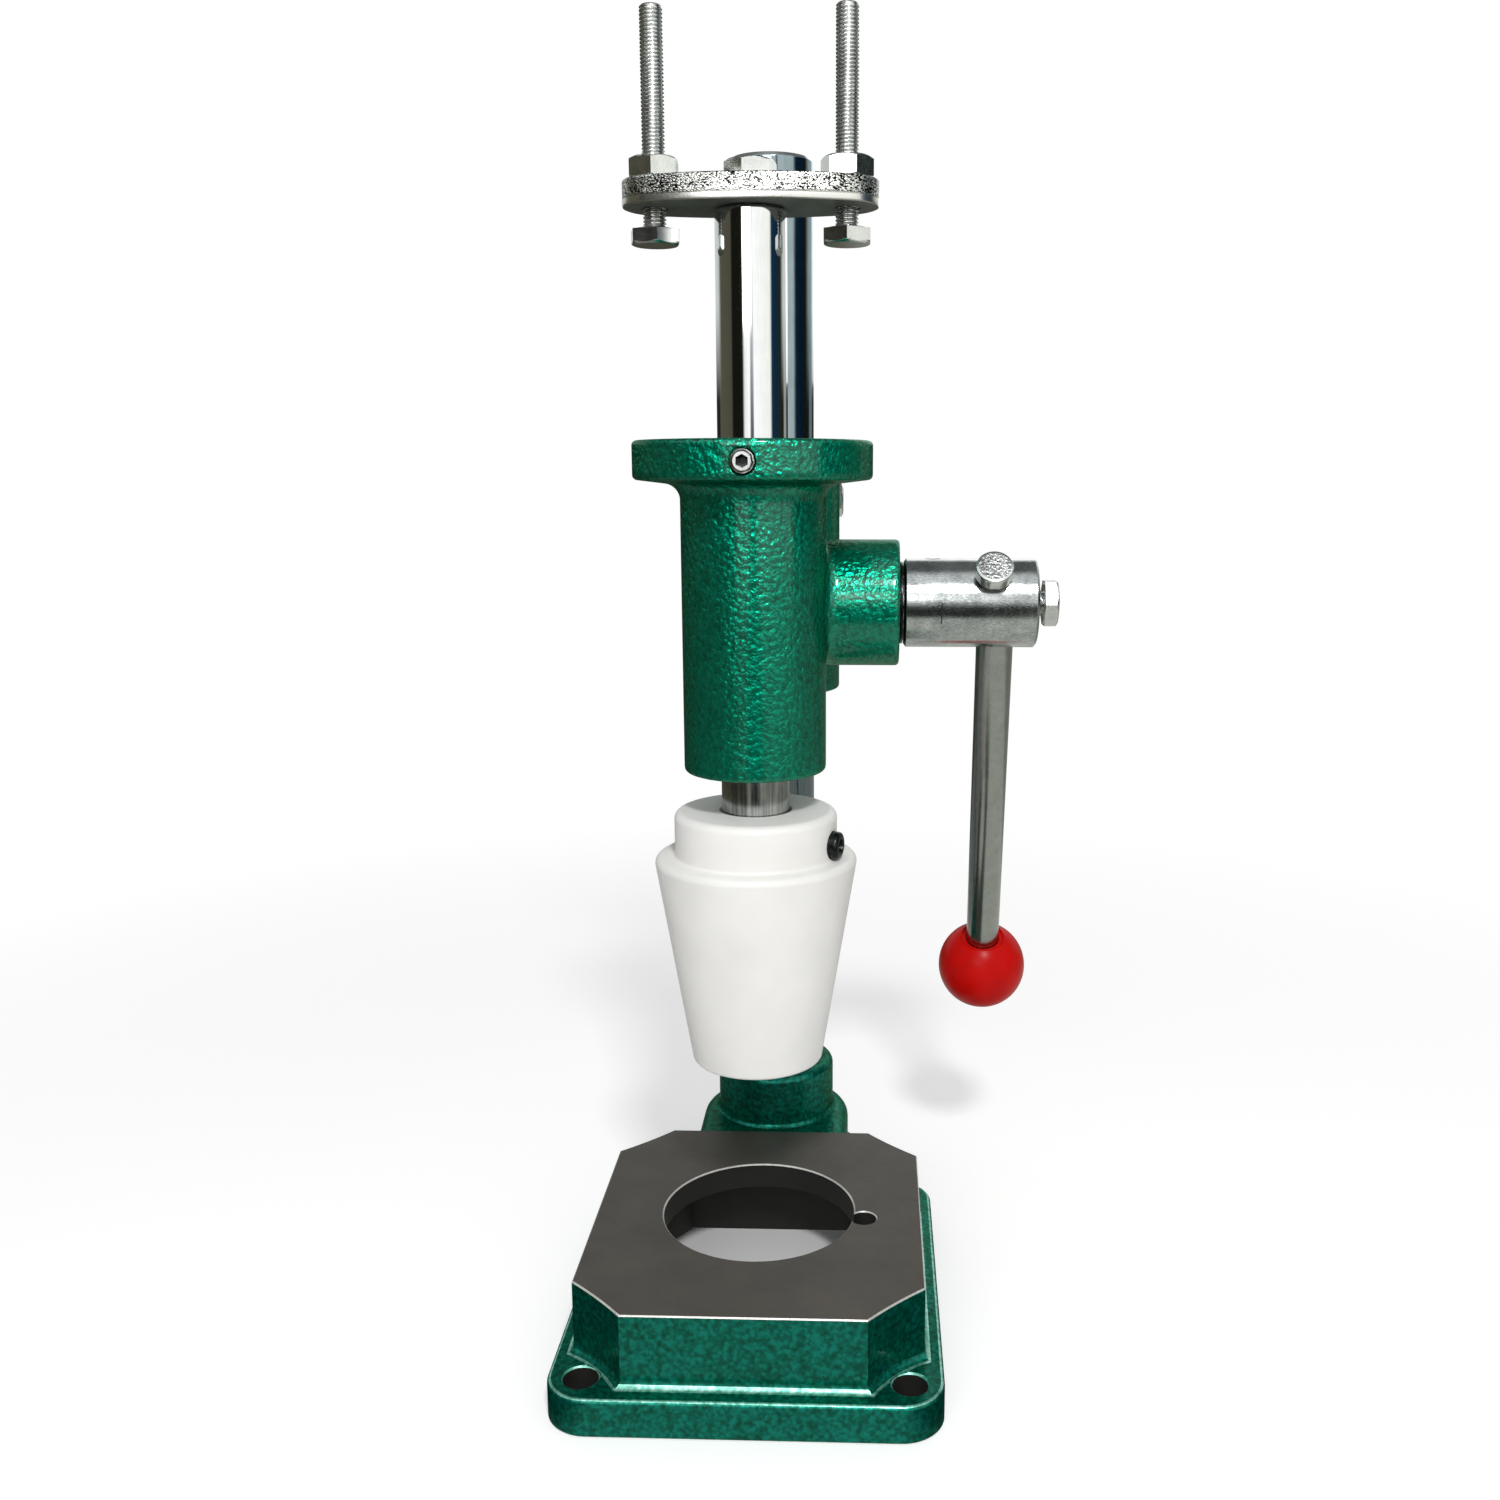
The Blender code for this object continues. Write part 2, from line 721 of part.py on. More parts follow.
def head_body(frame):
    """The barrel with its flange, the boss, the sleeve, the web and the lugs as one casting."""
    flange_bottom = HEAD_TOP - FLANGE_THICKNESS
    head = turned(
        "head_casting",
        [
            (RAM_RADIUS / 2, HEAD_BOTTOM, 0),
            (BARREL_RADIUS, HEAD_BOTTOM, BARREL_EDGE_RADIUS),
            (BARREL_RADIUS, flange_bottom, FLANGE_FILLET),
            (FLANGE_RADIUS, flange_bottom, FLANGE_EDGE_RADIUS),
            (FLANGE_RADIUS, HEAD_TOP, FLANGE_EDGE_RADIUS),
            (RAM_RADIUS / 2, HEAD_TOP, 0),
        ],
        frame,
        green_enamel,
    )
    aim(head, (0, RAM_Y, 0))
    sleeve = turned(
        "sleeve_guide",
        [
            (SLEEVE_RADIUS - SLEEVE_DRAFT, HEAD_BOTTOM + SLEEVE_RISE, 0),
            (SLEEVE_RADIUS, HEAD_TOP - FIT_GAP, 0),
        ],
        frame,
    )
    boss = turned(
        "boss_guide",
        [
            (JOURNAL_DIAMETER / 2, -BOSS_LEFT, 0),
            (BOSS_RADIUS, -BOSS_LEFT, BOSS_EDGE_RADIUS),
            (BOSS_RADIUS, BOSS_RIGHT, BOSS_EDGE_RADIUS),
            (JOURNAL_DIAMETER / 2, BOSS_RIGHT, 0),
        ],
        frame,
    )
    aim(boss, (0, PINION_Y, PINION_Z), AXIS_X)
    half_web = WEB_THICKNESS / 2
    web_path = [(-half_web, RAM_Y), (half_web, RAM_Y), (half_web, 0), (-half_web, 0)]
    web = prism("web_guide", web_path, HEAD_BOTTOM + WEB_RISE, HEAD_TOP - WEB_DROP, frame)
    unite(head, sleeve, web, boss, build_lugs(frame))
    return head


def build_lugs(frame):
    """The two lugs behind the sleeve, still in one block."""
    corner = LUG_CORNER_RADIUS
    top = CLAMP_UPPER_Z + LUG_HEIGHT_MARGIN
    bottom = CLAMP_LOWER_Z - LUG_HEIGHT_MARGIN
    rear = CLAMP_Y + LUG_EDGE
    path = rounded(
        [
            (bottom, COLUMN_BORE_RADIUS / 2, 0),
            (bottom, rear, corner),
            (top, rear, corner),
            (top, COLUMN_BORE_RADIUS / 2, 0),
        ]
    )
    rings = [[(x, y, z) for z, y in path] for x in (-LUG_HALF_WIDTH, LUG_HALF_WIDTH)]
    return stacked("lugs_guide", rings, frame)


def build_head(frame):
    """The head casting with its bores and its slit."""
    head = head_body(frame)
    low = HEAD_BOTTOM - CUT_OVERRUN
    high = HEAD_TOP + CUT_OVERRUN
    ram_bore = aim(drum("ram_bore_guide", RAM_BORE_RADIUS, low, high, frame), (0, RAM_Y, 0))
    column_bore = drum("column_bore_guide", COLUMN_BORE_RADIUS, low, high, frame)
    boss_bore = turned(
        "boss_bore_guide",
        [
            (JOURNAL_DIAMETER / 2 + FIT_GAP, -PINION_WIDTH / 2 - JOURNAL_LENGTH - FIT_GAP, 0),
            (JOURNAL_DIAMETER / 2 + FIT_GAP, -PINION_WIDTH / 2 - FIT_GAP, 0),
            (BOSS_BORE_RADIUS, -PINION_WIDTH / 2 - FIT_GAP, 0),
            (BOSS_BORE_RADIUS, BOSS_RIGHT + CUT_OVERRUN, 0),
        ],
        frame,
    )
    aim(boss_bore, (0, PINION_Y, PINION_Z), AXIS_X, math.pi / LARGE_SIDES)
    half_slit = LUG_SLIT / 2
    slit_end = CLAMP_Y + LUG_EDGE + CUT_OVERRUN
    slit_path = [(-half_slit, 0), (half_slit, 0), (half_slit, slit_end), (-half_slit, slit_end)]
    slit = prism("slit_guide", slit_path, low, high, frame)
    cut(head, ram_bore, column_bore, boss_bore, slit)
    for name, height in (("upper", CLAMP_UPPER_Z), ("lower", CLAMP_LOWER_Z)):
        hole = drum(
            f"clamp_hole_guide_{name}",
            M8_DIAMETER / 2 + FIT_GAP,
            -LUG_HALF_WIDTH - CUT_OVERRUN,
            LUG_HALF_WIDTH + CUT_OVERRUN,
            frame,
            sides=SMALL_SIDES,
        )
        cut(head, aim(hole, (0, CLAMP_Y, height), AXIS_X))
        build_clamp_bolt(name, height, frame)
    cut(head, build_friction_screw(frame), build_bush_screw(frame))


def build_clamp_bolt(name, height, frame):
    """A bolt through both lugs, with its washer on the right and its nut on the left."""
    washer_x = LUG_HALF_WIDTH + FIT_GAP
    seat_x = washer_x + M8_WASHER_THICKNESS + FIT_GAP
    nut_x = -LUG_HALF_WIDTH - FIT_GAP
    washer = ring_washer(
        f"clamp_washer_{name}",
        M8_DIAMETER / 2 + FIT_GAP,
        M8_WASHER_DIAMETER / 2,
        M8_WASHER_THICKNESS,
        frame,
        zinc_steel,
    )
    aim(washer, (washer_x, CLAMP_Y, height), AXIS_X)
    bolt = hex_bolt(
        f"clamp_bolt_{name}",
        M8_DIAMETER,
        M8_ACROSS_FLATS,
        M8_HEAD_HEIGHT,
        seat_x - nut_x + M8_NUT_HEIGHT + CLAMP_THREAD_PROUD,
        frame,
        zinc_steel,
    )
    aim(bolt, (seat_x, CLAMP_Y, height), AXIS_X)
    nut = hex_nut(
        f"clamp_nut_{name}", M8_DIAMETER, M8_ACROSS_FLATS, M8_NUT_HEIGHT, frame, zinc_steel
    )
    aim(nut, (nut_x, CLAMP_Y, height), -AXIS_X)


def build_friction_screw(frame):
    """The slug and the screw in the front of the flange. Returns the guide for their hole."""
    pad_start = RAM_RADIUS + FIT_GAP
    pad = drum(
        "friction_pad",
        M8_DIAMETER / 2,
        pad_start,
        pad_start + FRICTION_PAD_LENGTH,
        frame,
        bronze,
        sides=SMALL_SIDES,
    )
    aim(pad, (0, RAM_Y, FRICTION_Z), -AXIS_Y)
    screw_start = pad_start + FRICTION_PAD_LENGTH + FIT_GAP
    screw_end = FLANGE_RADIUS + FRICTION_SCREW_PROUD
    screw = grub_screw(
        "friction_screw",
        M8_DIAMETER,
        screw_end - screw_start,
        M8_SOCKET_WIDTH,
        M8_SOCKET_DEPTH,
        frame,
        zinc_steel,
    )
    aim(screw, (0, RAM_Y - screw_end, FRICTION_Z), -AXIS_Y)
    hole = drum(
        "friction_hole_guide",
        M8_DIAMETER / 2 + FIT_GAP,
        RAM_RADIUS / 2,
        FLANGE_RADIUS + CUT_OVERRUN,
        frame,
        sides=SMALL_SIDES,
    )
    return aim(hole, (0, RAM_Y, FRICTION_Z), -AXIS_Y)


def build_bush_screw(frame):
    """The grub screw that holds the bush, at the back. Returns the guide for its hole."""
    outer = BOSS_RADIUS - BUSH_SCREW_SINK
    screw = grub_screw(
        "bush_set_screw",
        M6_DIAMETER,
        outer - BOSS_BORE_RADIUS,
        M6_SOCKET_WIDTH,
        M6_SOCKET_DEPTH,
        frame,
        dark_steel,
    )
    aim(screw, (BUSH_SCREW_X, PINION_Y + outer, PINION_Z), AXIS_Y)
    hole = drum(
        "bush_screw_hole_guide",
        M6_DIAMETER / 2 + FIT_GAP,
        BOSS_BORE_RADIUS - FIT_GAP,
        BOSS_RADIUS + CUT_OVERRUN,
        frame,
        sides=SMALL_SIDES,
    )
    return aim(hole, (BUSH_SCREW_X, PINION_Y, PINION_Z), AXIS_Y)


def build_bush(frame):
    """The bronze bearing of the pinion shaft, which fills the boss beside the pinion."""
    start = PINION_WIDTH / 2 + FIT_GAP
    end = BOSS_RIGHT - BUSH_END_INSET
    bore = SHAFT_DIAMETER / 2 + FIT_GAP
    outside = BOSS_BORE_RADIUS - FIT_GAP
    corners = [(bore, start, 0), (outside, start, 0), (outside, end, 0), (bore, end, 0)]
    bush = turned("pinion_bush", corners, frame, bronze, LARGE_SIDES, hollow=True)
    aim(bush, (0, PINION_Y, PINION_Z), AXIS_X)


def involute(angle):
    return math.tan(angle) - angle


def pinion_outline():
    """One involute tooth after another, the first pointing along -X of the outline."""
    base_radius = PITCH_RADIUS * math.cos(PRESSURE_ANGLE)
    root_radius = PITCH_RADIUS - PINION_DEDENDUM
    half_at_pitch = (TOOTH_PITCH / 2 - 2 * TOOTH_THINNING) / (2 * PITCH_RADIUS)
    flank = []
    for step in range(ARC_STEPS + 1):
        radius = base_radius + (PINION_TIP_RADIUS - base_radius) * step / ARC_STEPS
        angle = math.acos(base_radius / radius)
        flank.append((radius, half_at_pitch + involute(PRESSURE_ANGLE) - involute(angle)))
    flank.insert(0, (root_radius, flank[0][1]))
    path = []
    for tooth in range(PINION_TEETH):
        middle = math.pi + 2 * math.pi * tooth / PINION_TEETH
        for radius, half in flank:
            path.append((radius, middle - half))
        for radius, half in reversed(flank):
            path.append((radius, middle + half))
    return [(radius * math.cos(turn), radius * math.sin(turn)) for radius, turn in path]


def build_pinion(frame):
    """The pinion and its shaft, cut from one bar, along the frame's X axis."""
    half = PINION_WIDTH / 2
    chamfer = SHAFT_CHAMFER
    shaft_radius = SHAFT_DIAMETER / 2
    journal_radius = JOURNAL_DIAMETER / 2
    shaft_end = HUB_LEFT_X + HUB_SHAFT_DEPTH - FIT_GAP
    journal_end = -half - JOURNAL_LENGTH
    pinion = turned(
        "pinion_shaft",
        [
            (journal_radius - chamfer, journal_end, 0),
            (journal_radius, journal_end + chamfer, 0),
            (journal_radius, -half + chamfer, 0),
            (shaft_radius, -half + chamfer, 0),
            (shaft_radius, shaft_end - chamfer, 0),
            (shaft_radius - chamfer, shaft_end, 0),
        ],
        frame,
        turned_steel,
    )
    aim(pinion, (0, 0, 0), AXIS_X)
    rings = [[(x, y, z) for y, z in pinion_outline()] for x in (-half, half)]
    unite(pinion, stacked("pinion_teeth_guide", rings, frame))
    cut(pinion, hub_pin_hole("pinion_pin_hole_guide", frame))


def hub_pin_hole(name, frame):
    """A guide for the hole of the hub's pin."""
    reach = HUB_RADIUS + CUT_OVERRUN
    hole = drum(name, HUB_PIN_DIAMETER / 2 + FIT_GAP, -reach, reach, frame, sides=SMALL_SIDES)
    return aim(hole, (HUB_LEFT_X + HUB_PIN_FROM_LEFT, 0, 0))


def build_thrust_washer(frame):
    """The thin ring between the boss and the hub."""
    washer = ring_washer(
        "thrust_washer",
        SHAFT_DIAMETER / 2 + FIT_GAP,
        HUB_RADIUS - THRUST_WASHER_MARGIN,
        THRUST_WASHER_THICKNESS,
        frame,
        dark_steel,
        LARGE_SIDES,
    )
    aim(washer, (BOSS_RIGHT + FIT_GAP, 0, 0), AXIS_X)


def build_hub(frame):
    """The turned hub, bored for the shaft, the pin, the rod and both bolts."""
    hub = drum("lever_hub", HUB_RADIUS, 0, HUB_LENGTH, frame, turned_steel, edge=HUB_CHAMFER)
    aim(hub, (HUB_LEFT_X, 0, 0), AXIS_X)
    shaft_bore = drum(
        "hub_shaft_bore_guide",
        SHAFT_DIAMETER / 2 + FIT_GAP,
        -CUT_OVERRUN,
        HUB_SHAFT_DEPTH,
        frame,
    )
    aim(shaft_bore, (HUB_LEFT_X, 0, 0), AXIS_X)
    rod_bore = drum(
        "hub_rod_bore_guide",
        ROD_DIAMETER / 2 + FIT_GAP,
        -ROD_PAST_AXIS - FIT_GAP,
        HUB_RADIUS + CUT_OVERRUN,
        frame,
    )
    aim(rod_bore, (ROD_X, 0, 0), ROD_DIRECTION)
    lock_hole = drum(
        "lock_hole_guide",
        M8_DIAMETER / 2 + FIT_GAP,
        ROD_PAST_AXIS / 2,
        HUB_RADIUS + CUT_OVERRUN,
        frame,
        sides=SMALL_SIDES,
    )
    aim(lock_hole, (lock_bolt_x(), 0, 0), LOCK_BOLT_DIRECTION)
    end_hole = drum(
        "end_hole_guide",
        M10_DIAMETER / 2 + FIT_GAP,
        ROD_X,
        HUB_RIGHT_X + CUT_OVERRUN,
        frame,
        sides=SMALL_SIDES,
    )
    aim(end_hole, (0, 0, 0), AXIS_X)
    cut(hub, shaft_bore, rod_bore, lock_hole, end_hole)
    cut(hub, hub_pin_hole("hub_pin_hole_guide", frame))
    pin_reach = HUB_RADIUS - HUB_PIN_SINK
    pin = drum(
        "hub_pin",
        HUB_PIN_DIAMETER / 2,
        -pin_reach,
        pin_reach,
        frame,
        dark_steel,
        sides=SMALL_SIDES,
    )
    aim(pin, (HUB_LEFT_X + HUB_PIN_FROM_LEFT, 0, 0))


def lock_bolt_x():
    return HUB_RIGHT_X - LOCK_BOLT_FROM_HUB_END


def build_hub_bolts(frame):
    """The radial bolt against the rod's inner end and the bolt in the hub's end face."""
    slant = math.cos(LOCK_BOLT_DIRECTION.angle(-ROD_DIRECTION))
    spread = math.sqrt(1 - slant**2)
    tip = (ROD_PAST_AXIS + FIT_GAP + spread * M8_DIAMETER / 2) / slant
    seat = HUB_RADIUS + LOCK_BOLT_STANDOFF
    lock_bolt = hex_bolt(
        "lever_lock_bolt",
        M8_DIAMETER,
        M8_ACROSS_FLATS,
        M8_HEAD_HEIGHT,
        seat - tip,
        frame,
        zinc_steel,
    )
    aim(lock_bolt, Vector((lock_bolt_x(), 0, 0)) + LOCK_BOLT_DIRECTION * seat, LOCK_BOLT_DIRECTION)
    rod_side = ROD_DIAMETER / 2 / math.cos(ROD_LEAN) + math.tan(ROD_LEAN) * M10_DIAMETER / 2
    seat_x = HUB_RIGHT_X + END_BOLT_STANDOFF
    end_bolt = hex_bolt(
        "hub_end_bolt",
        M10_DIAMETER,
        M10_ACROSS_FLATS,
        M10_HEAD_HEIGHT,
        seat_x - ROD_X - rod_side - FIT_GAP,
        frame,
        zinc_steel,
    )
    aim(end_bolt, (seat_x, 0, 0), AXIS_X)


def build_rod(frame):
    """The lever's rod and its ball, which hangs behind the vertical."""
    ball_radius = BALL_DIAMETER / 2
    rod_end = BALL_DISTANCE - ball_radius + BALL_ROD_DEPTH
    rod = drum(
        "lever_rod",
        ROD_DIAMETER / 2,
        -ROD_PAST_AXIS,
        rod_end,
        frame,
        turned_steel,
        edge=ROD_CHAMFER,
    )
    aim(rod, (ROD_X, 0, 0), ROD_DIRECTION)
    steps = MEDIUM_SIDES // 2
    rings = []
    for step in range(1, steps):
        turn = math.pi * step / steps
        height = -ball_radius * math.cos(turn)
        rings.append(circle(ball_radius * math.sin(turn), height, MEDIUM_SIDES))
    ball = stacked("ball_knob", rings, frame, red_plastic)
    centre = Vector((ROD_X, 0, 0)) + ROD_DIRECTION * BALL_DISTANCE
    aim(ball, centre, ROD_DIRECTION)
    neck_radius = BALL_NECK_DIAMETER / 2
    neck_height = math.sqrt(ball_radius**2 - neck_radius**2) - BALL_NECK_DEPTH
    neck = drum(
        "ball_neck_guide",
        neck_radius,
        -ball_radius - CUT_OVERRUN,
        -neck_height,
        frame,
        sides=MEDIUM_SIDES,
    )
    bore = drum(
        "ball_bore_guide",
        ROD_DIAMETER / 2 + FIT_GAP,
        -ball_radius - CUT_OVERRUN,
        -ball_radius + BALL_ROD_DEPTH + FIT_GAP,
        frame,
        sides=MEDIUM_SIDES,
    )
    cut(ball, aim(neck, centre, ROD_DIRECTION), aim(bore, centre, ROD_DIRECTION))


def rack_cutter(frame):
    """A comb that leaves the rack's teeth on the back of the ram."""
    tip = RACK_PITCH_DEPTH + RACK_ADDENDUM
    root = RACK_PITCH_DEPTH - RACK_DEDENDUM
    outside = RAM_RADIUS + CUT_OVERRUN
    slope = math.tan(PRESSURE_ANGLE)
    half_at_pitch = (TOOTH_PITCH / 2 - 2 * TOOTH_THINNING) / 2
    half_at_tip = half_at_pitch - slope * RACK_ADDENDUM
    half_at_root = half_at_pitch + slope * RACK_DEDENDUM
    centre_distance = RACK_PITCH_DEPTH + PITCH_RADIUS
    mesh_reach = math.sqrt(PINION_TIP_RADIUS**2 - (centre_distance - tip) ** 2)
    below = math.ceil((RAM_UP_GAP + mesh_reach) / TOOTH_PITCH) + RACK_SPARE_TEETH
    above = math.ceil((STOP_GAP + mesh_reach) / TOOTH_PITCH) + RACK_SPARE_TEETH
    path = [(outside, PINION_Z - below * TOOTH_PITCH), (root, PINION_Z - below * TOOTH_PITCH)]
    for tooth in range(-below, above):
        middle = PINION_Z + (tooth + 1 / 2) * TOOTH_PITCH
        path.append((root, middle - half_at_root))
        path.append((tip, middle - half_at_tip))
        path.append((tip, middle + half_at_tip))
        path.append((root, middle + half_at_root))
    path.append((root, PINION_Z + above * TOOTH_PITCH))
    path.append((outside, PINION_Z + above * TOOTH_PITCH))
    reach = RAM_RADIUS + CUT_OVERRUN
    rings = [[(x, y, z) for y, z in path] for x in (-reach, reach)]
    return stacked("rack_guide", rings, frame)


def build_ram(frame):
    """The ram, round and chromed, with the rack on its back and a hole for the centre bolt."""
    ram = drum(
        "ram", RAM_RADIUS, RAM_BOTTOM_Z, RAM_TOP_Z, frame, chromed_steel, edge=RAM_CHAMFER
    )
    bolt_hole = drum(
        "ram_bolt_hole_guide",
        M8_DIAMETER / 2 + FIT_GAP,
        RAM_TOP_Z - CENTRE_BOLT_GRIP - FIT_GAP,
        RAM_TOP_Z + CUT_OVERRUN,
        frame,
        sides=SMALL_SIDES,
    )
    cut(ram, rack_cutter(frame), bolt_hole)


def plate_outline(inset=0.0):
    """The oval of the stop plate: two long shallow arcs joined by two round ends."""
    half_width = PLATE_WIDTH / 2 - inset
    end_radius = PLATE_END_RADIUS - inset
    end_x = STOP_SPACING / 2 + PLATE_END_MARGIN - PLATE_END_RADIUS
    rise = half_width - end_radius
    drop = (end_x**2 - rise**2) / (2 * rise)
    long_radius = half_width + drop
    meet = math.atan2(end_x, drop)
    path = []
    for side in (1, -1):
        for step in range(2 * ARC_STEPS + 1):
            turn = meet * (1 - step / ARC_STEPS)
            x = side * long_radius * math.sin(turn)
            path.append((x, side * (long_radius * math.cos(turn) - drop)))
        for step in range(1, 2 * ARC_STEPS):
            turn = -meet - (math.pi - 2 * meet) * step / (2 * ARC_STEPS)
            x = side * (end_radius * math.sin(turn) - end_x)
            path.append((x, side * end_radius * math.cos(turn)))
    return path


def build_stop_plate(frame):
    """The oval plate on the ram, with holes for the centre bolt and both stop bolts."""
    plate = stacked(
        "stop_plate",
        [
            at_height(plate_outline(PLATE_BEVEL), PLATE_Z),
            at_height(plate_outline(), PLATE_Z + PLATE_BEVEL),
            at_height(plate_outline(), PLATE_TOP_Z - PLATE_BEVEL),
            at_height(plate_outline(PLATE_BEVEL), PLATE_TOP_Z),
        ],
        frame,
        zinc_steel,
    )
    for name, x in (("left", -STOP_SPACING / 2), ("centre", 0), ("right", STOP_SPACING / 2)):
        hole = drum(
            f"plate_hole_guide_{name}",
            M8_DIAMETER / 2 + FIT_GAP,
            PLATE_Z - CUT_OVERRUN,
            PLATE_TOP_Z + CUT_OVERRUN,
            frame,
            sides=SMALL_SIDES,
        )
        cut(plate, aim(hole, (x, 0, 0)))
    nuts = (("left", -STOP_SPACING / 2, NUT_TURN_LEFT), ("right", STOP_SPACING / 2, NUT_TURN_RIGHT))
    for name, x, turn in nuts:
        nut = hex_nut(
            f"stop_nut_{name}", M8_DIAMETER, STOP_ACROSS_FLATS, STOP_NUT_HEIGHT, frame, zinc_steel
        )
        aim(nut, (x, 0, PLATE_TOP_Z + FIT_GAP), turn=turn)


def build_centre_bolt(frame):
    """The bolt and washer that hold the stop plate on the ram."""
    washer = ring_washer(
        "plate_washer",
        M8_DIAMETER / 2 + FIT_GAP,
        CENTRE_WASHER_DIAMETER / 2,
        CENTRE_WASHER_THICKNESS,
        frame,
        zinc_steel,
    )
    washer_z = PLATE_TOP_Z + FIT_GAP
    aim(washer, (0, 0, washer_z))
    seat_z = washer_z + CENTRE_WASHER_THICKNESS + FIT_GAP
    bolt = hex_bolt(
        "plate_centre_bolt",
        M8_DIAMETER,
        STOP_ACROSS_FLATS,
        M8_HEAD_HEIGHT,
        seat_z - RAM_TOP_Z + CENTRE_BOLT_GRIP,
        frame,
        zinc_steel,
    )
    aim(bolt, (0, 0, seat_z), turn=CENTRE_BOLT_TURN)


def build_punch(frame):
    """The white punch, socketed on the ram's lower end."""
    tip_radius = PUNCH_TIP_DIAMETER / 2
    punch = turned(
        "punch",
        [
            (tip_radius / 2, PUNCH_TIP_Z, 0),
            (tip_radius, PUNCH_TIP_Z, PUNCH_TIP_RADIUS),
            (PUNCH_TOP_DIAMETER / 2, PUNCH_SHOULDER_Z, PUNCH_SHOULDER_RADIUS),
            (PUNCH_COLLAR_DIAMETER / 2, PUNCH_SHOULDER_Z, 0),
            (PUNCH_COLLAR_DIAMETER / 2, PUNCH_TOP_Z, PUNCH_COLLAR_RADIUS),
            (tip_radius / 2, PUNCH_TOP_Z, 0),
        ],
        frame,
        white_plastic,
    )
    socket = drum(
        "punch_socket_guide",
        RAM_BORE_RADIUS,
        RAM_BOTTOM_Z - FIT_GAP,
        PUNCH_TOP_Z + CUT_OVERRUN,
        frame,
    )
    cut(punch, socket)
    across = Vector((math.cos(PUNCH_SCREW_TURN), math.sin(PUNCH_SCREW_TURN), 0))
    for name, direction, proud in (
        ("left", -across, PUNCH_SCREW_PROUD_LEFT),
        ("right", across, PUNCH_SCREW_PROUD_RIGHT),
    ):
        cut(punch, build_punch_screw(name, direction, proud, frame))


def build_punch_screw(name, direction, proud, frame):
    """A round-headed screw through the collar. Returns the guide for its stepped hole."""
    collar = PUNCH_COLLAR_DIAMETER / 2
    head_radius = PUNCH_SCREW_HEAD_DIAMETER / 2
    shank_radius = PUNCH_SCREW_DIAMETER / 2
    outer = collar + proud
    seat = outer - PUNCH_SCREW_HEAD_HEIGHT
    tip = RAM_RADIUS + FIT_GAP
    screw = turned(
        f"punch_screw_{name}",
        [
            (shank_radius - THREAD_CHAMFER, tip, 0),
            (shank_radius, tip + THREAD_CHAMFER, 0),
            (shank_radius, seat, 0),
            (head_radius, seat, 0),
            (head_radius, outer, PUNCH_SCREW_ROUND),
            (shank_radius / 2, outer, 0),
        ],
        frame,
        dark_steel,
        SMALL_SIDES,
    )
    aim(screw, (0, 0, PUNCH_SCREW_Z), direction)
    hole = turned(
        f"punch_screw_hole_guide_{name}",
        [
            (shank_radius + FIT_GAP, RAM_RADIUS / 2, 0),
            (shank_radius + FIT_GAP, seat - FIT_GAP, 0),
            (head_radius + FIT_GAP, seat - FIT_GAP, 0),
            (head_radius + FIT_GAP, collar + CUT_OVERRUN, 0),
        ],
        frame,
        sides=SMALL_SIDES,
    )
    return aim(hole, (0, 0, PUNCH_SCREW_Z), direction)


def build_stop_bolt(name, frame, turn):
    """A fully threaded bolt that hangs through the plate with its head down."""
    bolt = hex_bolt(
        f"stop_bolt_{name}",
        M8_DIAMETER,
        STOP_ACROSS_FLATS,
        M8_HEAD_HEIGHT,
        STOP_BOLT_LENGTH,
        frame,
        zinc_steel,
    )
    aim(bolt, (0, 0, STOP_HEAD_Z + M8_HEAD_HEIGHT), -AXIS_Z, turn)


def build_press():
    """All bodies, each on its own frame."""
    clear_scene()
    base = joint_frame("base_frame")
    build_base(base)
    column = joint_frame("column_frame", base)
    build_column(column)
    head = joint_frame("head_frame", column)
    build_head(head)
    build_bush(head)
    lever = joint_frame("lever_frame", head, (0, PINION_Y, PINION_Z))
    build_pinion(lever)
    build_thrust_washer(lever)
    build_hub(lever)
    build_hub_bolts(lever)
    build_rod(lever)
    ram = joint_frame("ram_frame", head, (0, RAM_Y, 0))
    build_ram(ram)
    build_stop_plate(ram)
    build_centre_bolt(ram)
    build_punch(ram)
    left = joint_frame("stop_left_frame", ram, (-STOP_SPACING / 2, 0, 0))
    build_stop_bolt("left", left, STOP_TURN_LEFT)
    right = joint_frame("stop_right_frame", ram, (STOP_SPACING / 2, 0, 0))
    build_stop_bolt("right", right, STOP_TURN_RIGHT)
    bpy.context.view_layer.update()


build_press()
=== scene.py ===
# %% [markdown]
# A hand press for tartlet shells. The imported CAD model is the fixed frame: it says where each
# piece is and which body it moves with. This script makes the finer pieces that are seen, gives
# each of them a material that behaves as the real one does, and sets up the camera and the light.
# Lengths are written in millimetres, and turn to metres where they go into a mesh, a node or a lamp.

# %% Load the frame
import math

import bmesh
import bpy
import numpy as np
from mathutils import Matrix, Vector


